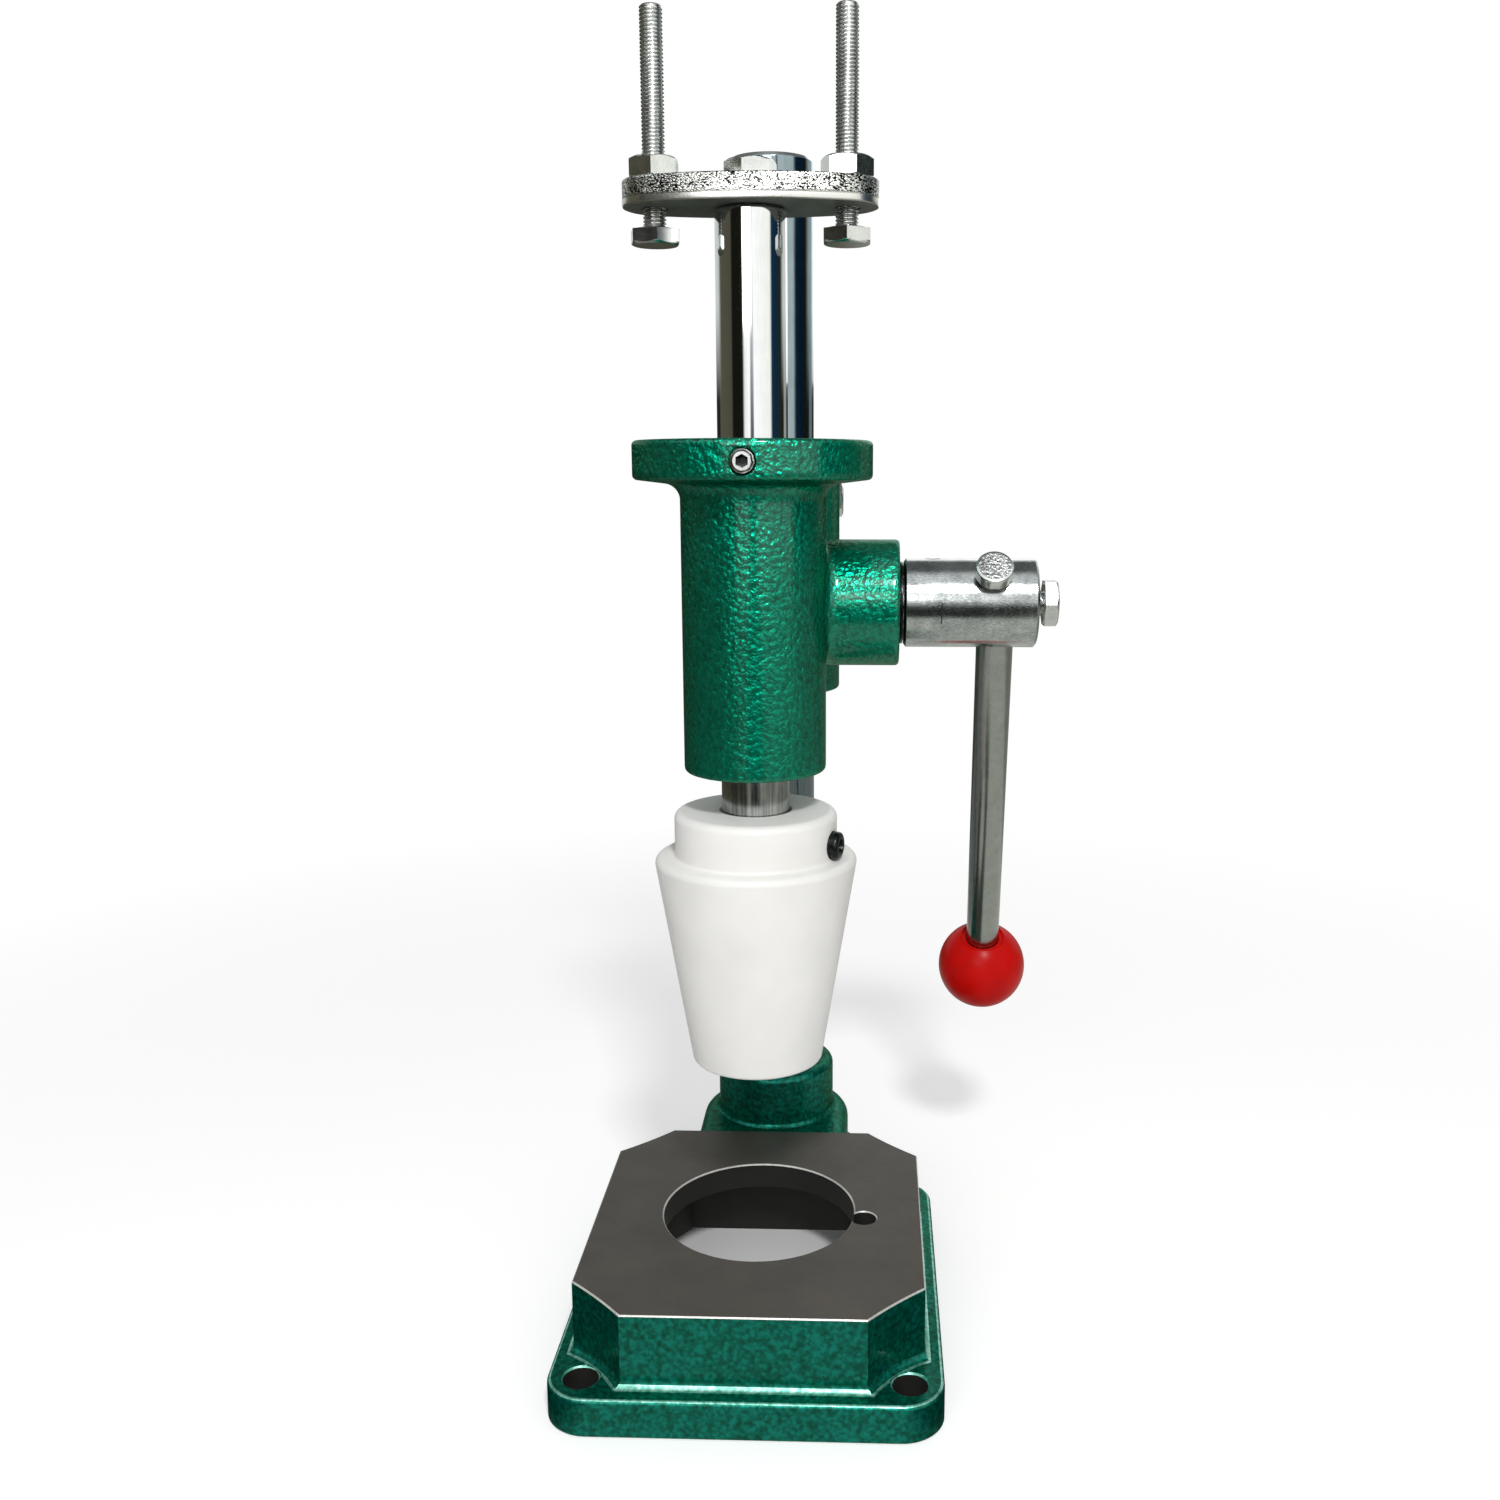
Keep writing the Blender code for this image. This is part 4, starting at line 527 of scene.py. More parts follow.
# %% Holes of the base
DIE_RADIUS, NOTCH_RADIUS, FOOT_HOLE_RADIUS, COLUMN_BORE, BORE_FLOOR, M8_HOLE = 37.1, 4.9, 6.25, 17.8, 8, 4.3
HOLLOW_INSET = 9
FOOT_HOLES = [(x, y) for x in (-57.5, 57.5) for y in (-170.0, -37.3)]
NOTCH_REACH, NOTCH_SWING = DIE_RADIUS + NOTCH_RADIUS - 0.8, math.radians(-7)
NOTCH_X, NOTCH_Y = NOTCH_REACH * math.cos(NOTCH_SWING), RAM_Y + NOTCH_REACH * math.sin(NOTCH_SWING)

hollow = skinned("hollow", lifted([(plinth_outline(HOLLOW_INSET + inset), z) for inset, z in (
    (0, -2), (0, 28.5), (0.9, 30.6), (3, 31.5))]))
die_hole = turned("die_hole", [(DIE_RADIUS, 20, 0), (DIE_RADIUS, TABLE_HIGH - 0.5, 0),
                               (DIE_RADIUS + 1, TABLE_HIGH + 0.5, 0)], at=(0, RAM_Y, 0), sides=128)
notch = turned("notch", [(NOTCH_RADIUS, 10, 0), (NOTCH_RADIUS, TABLE_HIGH - 0.4, 0),
                         (5.7, TABLE_HIGH + 0.4, 0)], at=(NOTCH_X, NOTCH_Y, 0), sides=48)
socket_bore = turned("socket_bore", [(COLUMN_BORE, BORE_FLOOR, 0), (COLUMN_BORE, SOCKET_HIGH - 0.6, 0),
                                     (19, SOCKET_HIGH + 0.6, 0)])
screw_hole = turned("screw_hole", [(M8_HOLE, 9, 0), (M8_HOLE, 32, 0)], at=(0, 0, 53), along=Y, sides=32)
foot_holes = [turned(f"foot_hole_{k}", [(FOOT_HOLE_RADIUS, -2, 0), (FOOT_HOLE_RADIUS, FOOT_HIGH - 0.6, 0),
                                        (6.5, FOOT_HIGH - 0.2, 0), (7.3, FOOT_HIGH + 0.3, 0)],
                     at=(x, y, 0), sides=48) for k, (x, y) in enumerate(FOOT_HOLES)]
combined(base, [hollow, die_hole, notch, socket_bore, screw_hole, *foot_holes])
print("base as drilled:", len(base.data.polygons), "faces")

# %% [markdown]
# One casting is enamelled outside, and bare in its bores, which are painted near black as shade. A
# face's finish follows from where its middle lies and which way it looks, which stays true when a
# size changes. A list of face numbers would not.

# %% Finishes by place
def face_middles(made):
    """Middle and direction of every face, in millimetres, as two arrays."""
    polygons = made.data.polygons
    middle = np.empty(len(polygons) * 3)
    normal = np.empty(len(polygons) * 3)
    polygons.foreach_get("center", middle)
    polygons.foreach_get("normal", normal)
    return middle.reshape(-1, 3) / MM, normal.reshape(-1, 3)


def painted(made, materials, choice):
    """Give each face the material whose number is in choice."""
    made.data.materials.clear()
    for material in materials:
        made.data.materials.append(material)
    choice = np.asarray(choice, np.int32)
    made.data.polygons.foreach_set("material_index", choice)
    print(f"{made.name}: {np.bincount(choice).tolist()} faces of each finish")
    return made


def all_painted(made, material):
    """Give every face of a drilled piece the same material."""
    return painted(made, [material], np.zeros(len(made.data.polygons), int))


# %% [markdown]
# A finished piece is tied to the body that carries it, and the CAD nodes that it stands for are
# hidden. Weighted normals let large flat faces lead the shading, so the small rounds beside them
# don't smear over them.

# %% Tie a piece to its body
def shows(made, body, *nodes, slot=None):
    """Let a piece move with a body and stand for CAD nodes, which are hidden. The slot is not used."""
    crisp = made.modifiers.new("even_normals", "WEIGHTED_NORMAL")
    crisp.keep_sharp = True
    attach(made, body)
    if nodes:
        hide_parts(*nodes)
    print(f"{made.name}: {len(made.data.polygons)} faces")
    return made


# %% [markdown]
# The table is bare machined iron whose cut edge is bright metal with a painted highlight. The bores
# and the casting's hollow are raw iron, painted near black as shade, and the rest is enamelled. Pale
# enamel paints highlights on the foot's brow and along the straight parts of the plinth's cove.

# %% Finishes of the base
middle, normal = face_middles(base)
x, y, z = middle.T
from_ram, from_column = np.hypot(x, y - RAM_Y), np.hypot(x, y)
level, upright = normal[:, 2], np.abs(normal[:, 2]) < 0.5
choice = np.zeros(len(middle), int)
choice[(z > TABLE_HIGH - 0.05) & (from_column > 30)] = 1
# The table's cut edge takes the pale iron: bare metal with a painted highlight.
choice[(z > TABLE_HIGH - 0.6) & (z < TABLE_HIGH - 0.05) & (from_column > 30)] = 2
# Bore walls and the hollow's inside take raw iron, painted near black as shade.
choice[(from_ram < DIE_RADIUS + 0.05) & (z > 15) & upright] = 3
choice[(np.hypot(x - NOTCH_X, y - NOTCH_Y) < NOTCH_RADIUS + 0.2) & upright] = 3
for hole_x, hole_y in FOOT_HOLES:
    choice[(np.hypot(x - hole_x, y - hole_y) < FOOT_HOLE_RADIUS + 0.15) & upright] = 3
choice[(from_column < COLUMN_BORE + 0.1) & (z > BORE_FLOOR - 1)] = 3
across, along = np.abs(x), np.abs(y - (TABLE_FRONT + TABLE_REAR) / 2)
deep, wall = (TABLE_REAR - TABLE_FRONT) / 2, HOLLOW_INSET - 1
inside = (across < TABLE_HALF - wall) & (along < deep - wall)
inside &= across + along < TABLE_HALF + deep - TABLE_CORNER - 10
choice[inside & (z > 0.1) & (z < 31.6) & (level < 0.2)] = 3
# The foot's brow and the straight parts of the cove take the pale enamel as a painted highlight.
edge = (z > FOOT_HIGH - 0.7) & (z < FOOT_HIGH) & (level > 0.45) & (level < 0.97)
straight = (np.abs(normal[:, 0]) < 0.2) | (np.abs(normal[:, 1]) < 0.2)
edge |= straight & (z > FOOT_HIGH + 0.2) & (z < FOOT_HIGH + 1.2) & (level > 0.3)
choice[edge & (choice == 0)] = 4
smoothed(painted(base, [ENAMEL_BASE, IRON, IRON_EDGE_HIGHLIGHT, RAW_IRON_SHADED, ENAMEL_PAINTED_HIGHLIGHT], choice), 26.0)
shows(base, "base", "base_casting", slot="green_enamel")

# %% [markdown]
# The head is one casting too, but its shapes run into each other at all angles: barrel, flange,
# sleeve, web, boss and lugs, with a fillet wherever two of them meet. Stacks of outlines can't
# give fillets on such crossings. A distance field can: each shape is a function that says how far a
# point is from it, two shapes are united with a rounded corner by a short formula, and the
# surface is found where the distance is zero.

# %% Distances to simple shapes
def rounded_distance(a, b, edge):
    """Distance to where both a and b are below zero, with an outer round of the edge's radius."""
    a, b = a + edge, b + edge
    return np.minimum(np.maximum(a, b), 0) + np.hypot(np.maximum(a, 0), np.maximum(b, 0)) - edge


def drum_distance(p, centre, axis, radius, low, high, edge):
    """Distance to a cylinder along one of the axes, with rounded rims."""
    others = [k for k in range(3) if k != axis]
    out = np.hypot(p[..., others[0]] - centre[0], p[..., others[1]] - centre[1]) - radius
    ends = np.abs(p[..., axis] - (low + high) / 2) - (high - low) / 2
    return rounded_distance(out, ends, edge)


def block_distance(p, low, high, edge):
    """Distance to a box with rounded edges: the length of what is outside of the shrunken box."""
    low, high = np.array(low, float), np.array(high, float)
    q = np.abs(p - (low + high) / 2) - (high - low) / 2 + edge
    return np.minimum(q.max(axis=-1), 0) + np.sqrt((np.maximum(q, 0) ** 2).sum(axis=-1)) - edge


def filleted(a, b, radius):
    """Union of two shapes with a fillet: radius less the length of how far each is under it."""
    u, v = np.maximum(radius - a, 0), np.maximum(radius - b, 0)
    return np.maximum(radius, np.minimum(a, b)) - np.hypot(u, v)


print("a 4 mm fillet fills a square corner by", round(-filleted(0.0, 0.0, 4.0), 2), "mm")

# %% [markdown]
# With these four the head is written as it is built: the flange hangs on the barrel, the web joins
# barrel and sleeve, the boss crosses the barrel, and the lugs close the sleeve behind. The lugs are
# two plates that are alike, so one is made and x is taken without its sign.

# %% Shape of the head
PINION_Y, PINION_Z = -79.9, 277.0
HEAD_LOW, HEAD_HIGH = 217.5, 336.0
BARREL_RADIUS, FLANGE_RADIUS, FLANGE_THICK, FLANGE_FILLET, FLANGE_TAPER = 26.0, 42.6, 13.5, 5.0, 2
SLEEVE_RADIUS, SLEEVE_LOW, WEB_LOW, WEB_HALF = 28.5, HEAD_LOW + 15.5, HEAD_LOW + 22, 16
BOSS_RADIUS, BOSS_LEFT, BOSS_RIGHT = 23.5, -25.8, 52.7
CLAMP_Y, CLAMP_HEIGHTS = 38.0, {"upper": 313.0, "lower": 256.0}
LUG_OUTSIDE, LUG_REAR, LUG_ROUND, LUG_MARGIN = 21.8, 50, 8.0, 13.5


def head_distance(p):
    """Barrel and flange with their fillet, sleeve and web, the boss, and the clamp's lugs. Inner
    ends stop short of the faces that they would share, where a fillet would raise a bulge."""
    barrel = drum_distance(p, (0, RAM_Y), 2, BARREL_RADIUS, HEAD_LOW, HEAD_HIGH - 6, 1.6)
    out = np.hypot(p[..., 0], p[..., 1] - RAM_Y)
    share = np.clip((FLANGE_RADIUS - out) / (FLANGE_RADIUS - BARREL_RADIUS), 0, 1)
    under = HEAD_HIGH - FLANGE_THICK - FLANGE_TAPER * share
    beyond = np.maximum(p[..., 2] - HEAD_HIGH, under - p[..., 2])
    flange = rounded_distance(out - FLANGE_RADIUS, beyond, 1.6)
    sleeve = drum_distance(p, (0, 0), 2, SLEEVE_RADIUS, SLEEVE_LOW, HEAD_HIGH - 0.3, 1.4)
    web = block_distance(p, (-WEB_HALF, RAM_Y, WEB_LOW), (WEB_HALF, 0, HEAD_HIGH - 5), 1.0)
    boss = drum_distance(p, (PINION_Y, PINION_Z), 0, BOSS_RADIUS, BOSS_LEFT, BOSS_RIGHT, 1.5)
    lug_plan = block_distance(p * (0, 1, 1), (-20, -20, CLAMP_HEIGHTS["lower"] - LUG_MARGIN),
                              (20, LUG_REAR, CLAMP_HEIGHTS["upper"] + LUG_MARGIN), LUG_ROUND)
    lugs = rounded_distance(np.abs(p[..., 0]) - LUG_OUTSIDE, lug_plan, 1.2)
    body = filleted(filleted(barrel, flange, FLANGE_FILLET), filleted(sleeve, web, 4.0), 4.0)
    boss_fillet = 0.5 + 3.5 * np.clip((p[..., 0] + 8) / 16, 0, 1)
    return filleted(filleted(body, boss, boss_fillet), lugs, 3.0)


in_boss = np.array([40.0, PINION_Y, PINION_Z])
print("depth of a point on the boss's axis:", round(-float(head_distance(in_boss)), 1), "mm")

# %% [markdown]
# The surface is drawn with surface nets. The distance is sampled on a grid. Each grid edge whose
# ends differ in sign crosses the surface, each cell with such edges gets one point at the middle
# of their crossings, and each crossing edge joins the points of its four cells to a quad. Last,
# the points are drawn onto the exact surface in steps along the slope, each as long as the distance
# divided by the slope. Marching cubes would do as well, but its triangles are less even.

# %% Surface nets
def net_points(points, field):
    """The cells' points, the number of each cell's point, and the crossing edges of each axis."""
    cells = tuple(n - 1 for n in field.shape)
    total, count, crossings = np.zeros((*cells, 3)), np.zeros(cells), []
    for axis in range(3):
        order = [axis, (axis + 1) % 3, (axis + 2) % 3]
        f, p = field.transpose(order), points.transpose(order + [3])
        a, b = f[:-1], f[1:]
        cross = (a < 0) != (b < 0)
        share = np.where(cross, a / np.where(cross, a - b, 1), 0)[..., None]
        where = (p[:-1] + share * (p[1:] - p[:-1])) * cross[..., None]
        t, c = total.transpose(order + [3]), count.transpose(order)
        n = c.shape
        for u in (0, 1):
            for v in (0, 1):
                t += where[:, u:n[1] + u, v:n[2] + v]
                c += cross[:, u:n[1] + u, v:n[2] + v]
        crossings.append((order, cross, a < 0))
    number = np.full(cells, -1)
    number[count > 0] = np.arange((count > 0).sum())
    return total[count > 0] / count[count > 0][:, None], number, crossings


def net_faces(number, crossings):
    """A quad round each crossing edge, turned so that it looks out of the solid."""
    faces = []
    for order, cross, inside in crossings:
        ids = number.transpose(order)
        i, j, k = np.nonzero(cross[:, 1:-1, 1:-1])
        quad = np.stack([ids[i, j, k], ids[i, j + 1, k], ids[i, j + 1, k + 1], ids[i, j, k + 1]], axis=-1)
        flip = ~inside[:, 1:-1, 1:-1][i, j, k]
        quad[flip] = quad[flip][:, ::-1]
        faces.append(quad)
    return np.concatenate(faces)


def wrapped(name, distance, low, high, step, reach=0.02, rounds=4):
    """The surface where a distance is zero: nets on a grid, then steps of distance / slope, each
    kept under 0.3 of the grid's step. The slope is measured over reach to either side."""
    axes = [np.arange(a, b + step, step) for a, b in zip(low, high)]
    points = np.stack(np.meshgrid(*axes, indexing="ij"), axis=-1)
    surface, number, crossings = net_points(points, distance(points))
    for _ in range(rounds):
        rise = [distance(surface + nudge) - distance(surface - nudge) for nudge in np.eye(3) * reach]
        slope = np.stack(rise, axis=-1) / (2 * reach)
        steep = np.maximum((slope**2).sum(axis=-1, keepdims=True), 0.25)
        surface = surface - np.clip(distance(surface)[:, None] * slope / steep, -0.3 * step, 0.3 * step)
    return new_piece(name, surface, net_faces(number, crossings).tolist(), sharp=50.0)


head = wrapped("head_casting_fine", head_distance, (-46, -149, 214), (58, 54, 340), 1.0)
print("head as cast:", len(head.data.vertices), "points")

# %% [markdown]
# The bores are cut afterwards with clean edges: for the ram, the column, the pinion's shaft and its
# bush, the clamp's slit and bolts, the friction screw and the bush's screw. Their walls and the
# slit's are raw iron, painted near black as shade.

# %% Bores of the head
RAM_BORE, SHAFT_BORE, BUSH_BORE, BUSH_FLOOR, FRICTION_Z = 12.8, 8.3, 15.5, -13.3, 328.6

ram_bore = turned("ram_bore", [(14.2, HEAD_LOW - 1, 0), (RAM_BORE, HEAD_LOW + 0.6, 0),
                               (RAM_BORE, HEAD_HIGH - 0.6, 0), (14.2, HEAD_HIGH + 1, 0)], at=(0, RAM_Y, 0))
column_bore = turned("column_bore", [(19.2, 232, 0), (COLUMN_BORE, 233.8, 0), (COLUMN_BORE, HEAD_HIGH - 1, 0),
                                     (19.2, HEAD_HIGH + 1, 0)])
boss_bore = turned("boss_bore", [
    (SHAFT_BORE, -21.8, 0), (SHAFT_BORE, BUSH_FLOOR, 0), (BUSH_BORE, BUSH_FLOOR, 0),
    (BUSH_BORE, BOSS_RIGHT - 0.6, 0), (16.7, BOSS_RIGHT + 0.6, 0)], at=(0, PINION_Y, PINION_Z), along=X)
slit_plan = np.array([(-1.5, 0), (1.5, 0), (1.5, 54), (-1.5, 54)])
slit = skinned("slit", lifted([(slit_plan, 214), (slit_plan, 340)]))
clamps = [turned(f"clamp_hole_{key}", [(M8_HOLE, -26, 0), (M8_HOLE, 26, 0)],
                 at=(0, CLAMP_Y, z), along=X, sides=32)
          for key, z in CLAMP_HEIGHTS.items()]
friction = turned("friction_hole", [
    (M8_HOLE, 6, 0), (M8_HOLE, FLANGE_RADIUS - 0.6, 0), (5.6, FLANGE_RADIUS + 0.7, 0)],
    at=(0, RAM_Y, FRICTION_Z), along=FRONT, sides=40)
bush_hole = turned("bush_hole", [(3.3, 15, 0), (3.3, 25, 0)], at=(38, PINION_Y, PINION_Z), along=Y, sides=32)
combined(head, [ram_bore, column_bore, boss_bore, slit, *clamps, friction, bush_hole])

middle, normal = face_middles(head)
x, y, z = middle.T
from_pinion = np.hypot(y - PINION_Y, z - PINION_Z)
# The bores and the slit's walls take raw iron, painted near black as shade.
raw_and_shaded = (np.hypot(x, y - RAM_Y) < 13.9) | (np.hypot(x, y) < 18.9)
raw_and_shaded |= (from_pinion < 16.3) & (x > -14) & (x < 55)
raw_and_shaded |= (np.abs(x) < 1.55) & (y > 0) & (np.abs(normal[:, 0]) > 0.9)
smoothed(painted(head, [ENAMEL_HEAD, RAW_IRON_SHADED], raw_and_shaded), 50.0)
shows(head, "head", "head_casting", slot="green_enamel")

# %% [markdown]
# The column is a ground bar with hard chrome, the smoothest surface here. It shows the room as a
# mirror does, in upright stripes, so it needs a true circle and nothing else. Its chrome is darker
# and bluer than the ram's, and its faced top is paler.

# %% Column
COLUMN_RADIUS, COLUMN_LOW, COLUMN_HIGH, END_CHAMFER = 17.5, 8.3, 451.0, 1.5

column = turned("column_bar", [
    (10, COLUMN_LOW, 0), (16.3, COLUMN_LOW, 0), (COLUMN_RADIUS, COLUMN_LOW + END_CHAMFER, 0),
    (COLUMN_RADIUS, COLUMN_HIGH - END_CHAMFER, 0.6), (16.2, COLUMN_HIGH, 0.4),
    (10, COLUMN_HIGH, 0)], sides=128)
middle, normal = face_middles(column)
# The column takes the darker, bluer chrome.
painted(column, [CHROME_DARKER, ZINC], middle[:, 2] > COLUMN_HIGH - 0.9)
shows(column, "column", "column", slot="chromed_steel")

# %% [markdown]
# The ram is a chromed bar too, with a rack milled into its back. The teeth could be added one by
# one, but a mill takes away what is between them, so one comb-shaped cutter does the same here. The
# pitch of a rack in module 2 is 2 * pi mm.

# %% Ram with its rack
RAM_RADIUS, RAM_LOW, RAM_TOP, SHADED_BELOW = 12.5, 166.5, PLATE_LOW - 0.3, 216
MODULE, PRESSURE_ANGLE, BACKLASH = 2, math.radians(20), 0.3
RACK_ROOT, RACK_TIP, TEETH_BELOW, TEETH_ABOVE = 7.5, 11.0, 6, 13


def rack_comb():
    """The space round the rack's teeth. A tooth is half a pitch wide at the pitch line, and leans
    by the tangent of the pressure angle on each side."""
    pitch, slope = MODULE * math.pi, math.tan(PRESSURE_ANGLE)
    outside, reach, at_pitch = 17.0, 17, (math.pi - BACKLASH) / 2
    tooth = PINION_Z + (np.arange(-TEETH_BELOW, TEETH_ABOVE) + 0.5) * pitch
    half_root, half_tip = at_pitch + slope * 2.0, at_pitch - slope * 1.5
    flanks = (RACK_ROOT, -half_root), (RACK_TIP, -half_tip), (RACK_TIP, half_tip), (RACK_ROOT, half_root)
    teeth = np.stack([np.column_stack([np.full_like(tooth, depth), tooth + side]) for depth, side in flanks],
                     axis=1)
    low, high = PINION_Z - TEETH_BELOW * pitch, PINION_Z + TEETH_ABOVE * pitch
    path = np.concatenate([[(outside, low), (RACK_ROOT, low)], teeth.reshape(-1, 2),
                           [(RACK_ROOT, high), (outside, high)]])
    rows = [np.column_stack([np.full(len(path), x), path[:, 0] + RAM_Y, path[:, 1]]) for x in (-reach, reach)]
    return skinned("rack_comb", rows)


ram = turned("ram_bar", [
    (8, RAM_LOW, 0), (11.5, RAM_LOW, 0), (RAM_RADIUS, RAM_LOW + 1, 0), (RAM_RADIUS, 216.6, 0),
    (RAM_RADIUS, RAM_TOP - 1, 0.4), (11.5, RAM_TOP, 0), (8, RAM_TOP, 0)], at=(0, RAM_Y, 0), sides=128)
combined(ram, [rack_comb()])
middle, normal = face_middles(ram)
# Below the head the ram is darker, as painted shade, with streaks along the bar.
painted(ram, [CHROME, SHADED_RAM_END], middle[:, 2] < SHADED_BELOW)
shows(ram, "ram", "ram", slot="chromed_steel")

# %% [markdown]
# Bolts and nuts are hexagons cut back by a cone of 30 degrees, which leaves the curved chamfer
# that tells a real bolt head from a plain prism. The thread is a helix: at angle a and height z the
# radius follows a rounded wave of (z / pitch - a / 360 degrees), and the start is tapered. A Screw
# modifier could wind a profile instead, but rows keep shank and head one closed surface.

# %% Hexagons and threads
def hex_rows(levels, across, sides=72):
    """Rows (height, limit): at each angle the radius is the smaller of the hexagon's and the limit."""
    turn = 2 * np.pi * np.arange(sides) / sides
    reach = across / 2 / np.cos((turn + np.pi / 6) % (np.pi / 3) - np.pi / 6)
    height, limit = np.array(levels, float).T[:, :, None]
    radius = np.minimum(reach, limit)
    return np.stack([radius * np.cos(turn), radius * np.sin(turn), height + 0 * radius], axis=-1)


def thread_rows(low, high, diameter, pitch, sides=72, steps=9, taper=1.0):
    """Rows of a thread, 0.48 of the pitch deep, with both ends drawn in by the taper."""
    height = np.linspace(low, high, max(2, int((high - low) / pitch * steps)))[:, None]
    turn = 2 * np.pi * np.arange(sides)[None] / sides
    wave = np.clip(0.5 + 0.75 * np.cos(2 * np.pi * height / pitch - turn), 0, 1)
    radius = diameter / 2 - 0.48 * pitch * (1 - wave)
    radius = np.minimum(radius, diameter / 2 - taper + np.minimum(high - height, height - low + taper * 0.3))
    return np.stack([radius * np.cos(turn), radius * np.sin(turn), height + 0 * radius], axis=-1)


def chamfer_levels(high, across, drop, steps=6):
    """Levels of a hexagon's chamfer at its top: the cone widens by 1.73 for each unit of drop."""
    down = np.linspace(drop, 0, steps)
    return [(high - d, across / 2 * 0.95 + d * 1.732) for d in down]


def height_and_reach(made, at, along):
    """How high each face's middle is above a place along an axis, and how far from that axis."""
    middle, normal = face_middles(made)
    way = np.array(along, float) / np.linalg.norm(along)
    height = (middle - at) @ way
    return height, np.linalg.norm(middle - at - height[:, None] * way, axis=1)


print("M8 thread:", thread_rows(0, 10, 8, 1.25).shape[0], "rows in 10 mm")

# %% [markdown]
# A bolt is one stack of rows: the threaded shank from its tip to the seat, then the head up to its
# top. A domed forged head has a round limit in place of the cone, and the dome's table gives the
# drop from the top in millimetres and the share of that limit.

# %% Bolt, nut, washer and screw
DOME = [(0.95, 1), (0.6, 0.985), (0.3, 0.95), (0.1, 0.88), (0.03, 0.85), (0, 0.83)]
HEX_SHARP = 28.0


def bolt(name, thread, across, head, length, at, along, turn=0.0, sides=72, round_to=None):
    """A hexagon bolt (thread = diameter and pitch) whose seat is at its place: shank behind it, head
    before it. The thread's valleys hold dirt and shade, so their faces are darker."""
    diameter, pitch = thread
    limit = round_to or across
    shank = thread_rows(-length, 0, diameter, pitch, sides)
    seat = hex_rows([(-0.01, diameter / 2), (0, across * 0.46), (0.3, across * 0.47), (0.3, limit)],
                    across, sides)
    rise = [(head - drop, limit * share) for drop, share in DOME] if round_to else [
        *chamfer_levels(head, across, across * 0.06), (head, across * 0.40)]
    crown = hex_rows([(head - 1.3, limit), *rise, (head, across * 0.2)], across, sides)
    rows = placed(np.concatenate([shank, seat, crown]), at, along, turn)
    made = skinned(name, rows, sharp=HEX_SHARP)
    height, out = height_and_reach(made, at, along)
    valley = (height < -0.8) & (height > -length + 1.5) & (out < diameter / 2 - 0.38 * pitch)
    # The forged top's specks are the die's skin and painted glints.
    forged_glints = (height > head - 0.02) & bool(round_to)
    return painted(made, [ZINC, ZINC_VALLEY, FORGED_TOP_GLINTS], np.where(forged_glints, 2, valley.astype(int)))


def nut(name, material, diameter, across, high, at, along=Z, turn=0.0, sides=72):
    """A hexagon nut, chamfered on both sides, that stands on its place."""
    up = chamfer_levels(high, across, across * 0.06)
    down = [(high - z, limit) for z, limit in reversed(up)]
    bore = diameter / 2
    inner = [(high, bore + 0.5), (high - 0.6, bore), (0.6, bore), (0, bore + 0.5)]
    rows = hex_rows(down + up + inner, across, sides)
    return skinned(name, placed(rows, at, along, turn), [material], loop=True, sharp=HEX_SHARP)


def washer(name, material, bore, outside, thick, at, along=Z):
    """A pressed washer with slightly rounded edges."""
    corners = [(bore, 0, 0.15), (outside, 0, 0.3), (outside, thick, 0.3), (bore, thick, 0.15)]
    return turned(name, corners, [material], at, along, sides=72, steps=3, loop=True)


def grub(name, material, thread, length, width, depth, at, along):
    """A headless screw with a hexagon socket in its outer end, which is at its place. Inside the
    socket and in the valleys it takes black oxide, as painted shade."""
    diameter, pitch = thread
    shank = thread_rows(-length, 0, diameter, pitch, 72)
    socket = hex_rows([(0, width * 0.62), (-0.35, width * 0.6), (-0.35, width), (-depth, width),
                       (-depth - 0.4, width * 0.25)], width)
    made = skinned(name, placed(np.concatenate([shank, socket]), at, along), sharp=HEX_SHARP)
    height, out = height_and_reach(made, at, along)
    # Socket and thread valleys are painted shade.
    shaded_inside = (height < -0.34) & ((out < width * 0.6) | (out < diameter / 2 - 0.3 * pitch))
    return painted(made, [material, BLACK_OXIDE], shaded_inside)


print("a forged head's dome has", len(DOME), "levels")

# %% [markdown]
# Two long bolts hang heads down from the plate and set the stroke, each with a lock nut on top. A
# bolt in the middle holds the plate on the ram. They all have 16 mm heads on an 8 mm thread. A long
# thread has many rows, so it gets fewer sides.

# %% Bolts of the stop plate
M6, M8, M10 = (6, 1.0), (8, 1.25), (10, 1.5)
STOP_X, STOP_ACROSS, SEAT = 33.15, 16.0, PLATE_HIGH + 0.3
STOP_SEAT, STOP_LONG, STOP_NUT_HIGH = 407.3, 72.0, 7.4
M8_HEAD, M8_NUT_BORE = 5.3, 8.3

for side, x, degrees in (("left", -STOP_X, 47.0), ("right", STOP_X, 59.0)):
    made = bolt(f"stop_bolt_{side}_threaded", M8, STOP_ACROSS, M8_HEAD, STOP_LONG,
                (x, RAM_Y, STOP_SEAT), DOWN, math.radians(degrees), sides=36)
    shows(made, f"stop_{side}", f"stop_bolt_{side}", slot="zinc_steel")
for side, x, degrees in (("left", -STOP_X, 2.0), ("right", STOP_X, 21.0)):
    made = nut(f"stop_nut_{side}_hexagon", ZINC, M8_NUT_BORE, STOP_ACROSS, STOP_NUT_HIGH, (x, RAM_Y, SEAT),
               turn=math.radians(degrees))
    shows(made, "ram", f"stop_nut_{side}", slot="zinc_steel")
made = washer("plate_washer_pressed", ZINC, M8_HOLE, 9.5, 1.0, (0, RAM_Y, SEAT))
